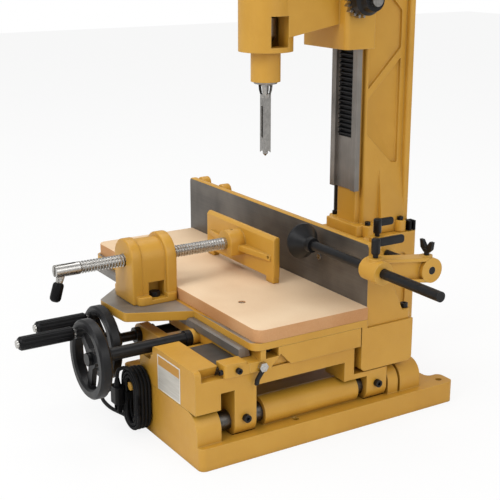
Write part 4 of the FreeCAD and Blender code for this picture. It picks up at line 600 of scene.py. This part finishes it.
# the board: round front corners and two countersunk screws near its front edge
LEFT, RIGHT, FRONT, REAR, CORNER = -318, 234, -172, 28, 15
outline = (arc(LEFT + CORNER, FRONT + CORNER, CORNER, 180, 270, 8) + arc(RIGHT - CORNER, FRONT + CORNER, CORNER, 270, 360, 8)
           + [(RIGHT, REAR), (LEFT, REAR)])
board_z = (table_z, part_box("board")[1].z / MM)
sinks = [lathe("sink", "z", [(board_z[0] - 1, 0), (board_z[0] - 1, 2.6), (board_z[1] - 5, 2.6), (board_z[1] - 0.5, 6),
                             (board_z[1] + 1, 6), (board_z[1] + 1, 0)], x, FRONT + 49.5)
         for x in (LEFT + 122.5, RIGHT - 122.5)]
board = combine("DIFFERENCE", solid("board_panel", "z", outline, *board_z, 0.8), *sinks)
settle(board, "table", BOARD, "board_mdf", "board")

# the strap that ties the hank of cord: a woven band round one side of its turns
strap = combine("DIFFERENCE", solid("cord_strap", "z", rounded_box((34.1, 53.9), (-297.9, -272.15), 1.6), 46, 60, 0.25),
                solid("inside", "z", rounded_box((34.9, 53.1), (-297.1, -272.95), 1), 44, 62))
settle(strap, "base", NYLON, "cord_rubber")


# the key clip, a forked block beside the column's foot, and the two bosses behind the fence's left end
fork = solid("key_fork", "z", [(44.2, 254), (59, 254), (59, 258.5), (48.7, 258.5), (48.7, 263.5), (59, 263.5),
                               (59, 268), (44.2, 268)], 240, 257, 0.6)
settle(fork, "base", PLASTIC, "black_plastic", "key_clip")
for x in (-301, -226):
    settle(round_bar("fence_boss", "y", x, 282.5, 11.5, 38, 56, 2), "table", PAINT, "casting_paint")

# the slide lock's lever, hanging from its bolt at the saddle's side
bolt_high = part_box("gib_screws")[1]
LOCK = (-164, 137.4)
lever = solid("lock_lever", "x", [(LOCK[0] + 4, LOCK[1] - 3), (LOCK[0] - 3, LOCK[1] - 1), (LOCK[0] - 14, LOCK[1] - 17),
                                  (LOCK[0] - 15, LOCK[1] - 25), (LOCK[0] - 9, LOCK[1] - 26), (LOCK[0] - 7, LOCK[1] - 18)],
              bolt_high.x / MM - 4.5, bolt_high.x / MM - 0.5, 0.8)
settle(lever, "saddle", OXIDE, "black_steel")


# ---- the cord ----

LEAD = [(-0.021, -0.244, 0.026), (-0.064, -0.244, 0.022), (-0.066, -0.291, 0.009), (-0.018, -0.295, 0.0065),
        (0.016, -0.290, 0.009), (0.046, -0.287, 0.012)]
HANK_X, HANK_LOW, HANK_HIGH = 0.065, 0.032, 0.074
OUTER, MIDDLE, INNER = 0.0279, 0.0217, 0.0155
LAYERS = [-0.294, -0.288, -0.282, -0.276]
TURNS = [(OUTER, 1), (OUTER, 2), (OUTER, 3), (MIDDLE, 3), (INNER, 3), (INNER, 2), (MIDDLE, 2), (MIDDLE, 1),
         (INNER, 1), (INNER, 0), (MIDDLE, 0), (OUTER, 0)]
# the point of each turn at which the cord steps over to the next turn's place
STEPS = [15, 15, 13, 13, 11, 9, 7, 5, 3, 1, 1, 99]
TAIL = [(0.048, -0.2975, 0.099), (0.0415, -0.3025, 0.095), (0.040, -0.305, 0.087), (0.040, -0.305, 0.076)]


def turn_point(place, radius):
    """The x and z of one of a turn's 18 points: round the bottom, up, over the top and down."""
    if place < 6:
        angle = math.radians(195 + 30 * place)
        return HANK_X + radius * math.cos(angle), HANK_LOW + radius * math.sin(angle)
    side = radius * math.cos(math.radians(15))
    step = (HANK_HIGH - HANK_LOW) / 4
    if place < 9:
        return HANK_X + side, HANK_LOW + step * (place - 5)
    if place < 15:
        angle = math.radians(15 + 30 * (place - 9))
        return HANK_X + radius * math.cos(angle), HANK_HIGH + radius * math.sin(angle)
    return HANK_X - side, HANK_HIGH - step * (place - 14)


points = list(LEAD)
for number, (radius, layer) in enumerate(TURNS):
    after = TURNS[min(number + 1, len(TURNS) - 1)]
    for place in range(18):
        gone = 0 if place < STEPS[number] else (0.5 if place == STEPS[number] else 1)
        here = radius + (after[0] - radius) * gone
        y = LAYERS[layer] + (LAYERS[after[1]] - LAYERS[layer]) * gone
        x, z = turn_point(place, here)
        first = number == 0 and place < 2
        last = number == len(TURNS) - 1 and place > 12
        if not first and not last:
            points.append((x, y, z))
points += TAIL

bpy.ops.curve.primitive_nurbs_path_add()
cord = bpy.context.object
cord.name = "power_cord"
line = cord.data
line.splines.clear()
run = line.splines.new("NURBS")
run.points.add(len(points) - 1)
for spot, point in zip(run.points, points):
    spot.co = (*point, 1)
run.order_u = 3
run.use_endpoint_u = True
run.resolution_u = 6
line.dimensions = "3D"
line.bevel_depth = 0.003
line.bevel_resolution = 4
line.use_fill_caps = True
cord.location = (0, 0, 0)
settle(cord, "base", RUBBER, "cord_rubber", "cord_lead", "cord_hank")


# ---- camera, floor and light ----

bpy.ops.object.camera_add(location=(1.4475, -0.9411, 0.7324),
                          rotation=(math.radians(90 - 16.25), 0, math.radians(58.05)))
camera = bpy.context.object
camera.data.lens = 77.11
bpy.context.scene.camera = camera

bpy.ops.mesh.primitive_plane_add(size=14, location=(0, 0, 0))
floor = bpy.context.object
floor.name = "floor"
ground, tree, surface, where = new_finish("matt_white_paper", Roughness=0.9)
surface.inputs["Base Color"].default_value = linear("F2F2F1")
sight = add(tree, "LightPath").outputs["Is Camera Ray"]
share = add(tree, "Math", {"operation": "MULTIPLY", 1: 0.86}, {0: sight}).outputs["Value"]
white = add(tree, "Emission", {"Strength": 1.0})
mixed = add(tree, "MixShader", {}, {0: share, 1: surface.outputs["BSDF"], 2: white.outputs["Emission"]})
tree.links.new(tree.nodes["Material Output"].inputs["Surface"], mixed.outputs["Shader"])
floor.data.materials.append(ground)

world = bpy.data.worlds.new("studio")
bpy.context.scene.world = world
world.use_nodes = True
tree = world.node_tree
path = add(tree, "LightPath")
seen = add(tree, "Math", {"operation": "MAXIMUM"},
           {0: path.outputs["Is Camera Ray"], 1: path.outputs["Is Transmission Ray"]})
light = add(tree, "MapRange", {"To Min": 0.55, "To Max": 1.0}, {"Value": seen.outputs["Value"]})
tree.links.new(tree.nodes["Background"].inputs["Strength"], light.outputs["Result"])
tree.nodes["Background"].inputs["Color"].default_value = (1, 1, 1, 1)


def softbox(name, where, aim, size, power):
    """A large square soft light at one place, turned to another."""
    bpy.ops.object.light_add(type="AREA", location=where)
    lamp = bpy.context.object
    lamp.name = name
    lamp.data.size = size
    lamp.data.energy = power
    lamp.rotation_euler = (Vector(aim) - Vector(where)).to_track_quat("-Z", "Y").to_euler()


softbox("key_light", (0.4, -2.4, 2.4), (0, 0, 0.25), 1.8, 44)
softbox("side_light", (2.8, 0.3, 1.8), (0, 0, 0.25), 1.6, 22)
softbox("top_light", (-0.8, 0.2, 3.0), (0, 0, 0.2), 2.0, 30)

bpy.context.scene.view_settings.view_transform = "Standard"
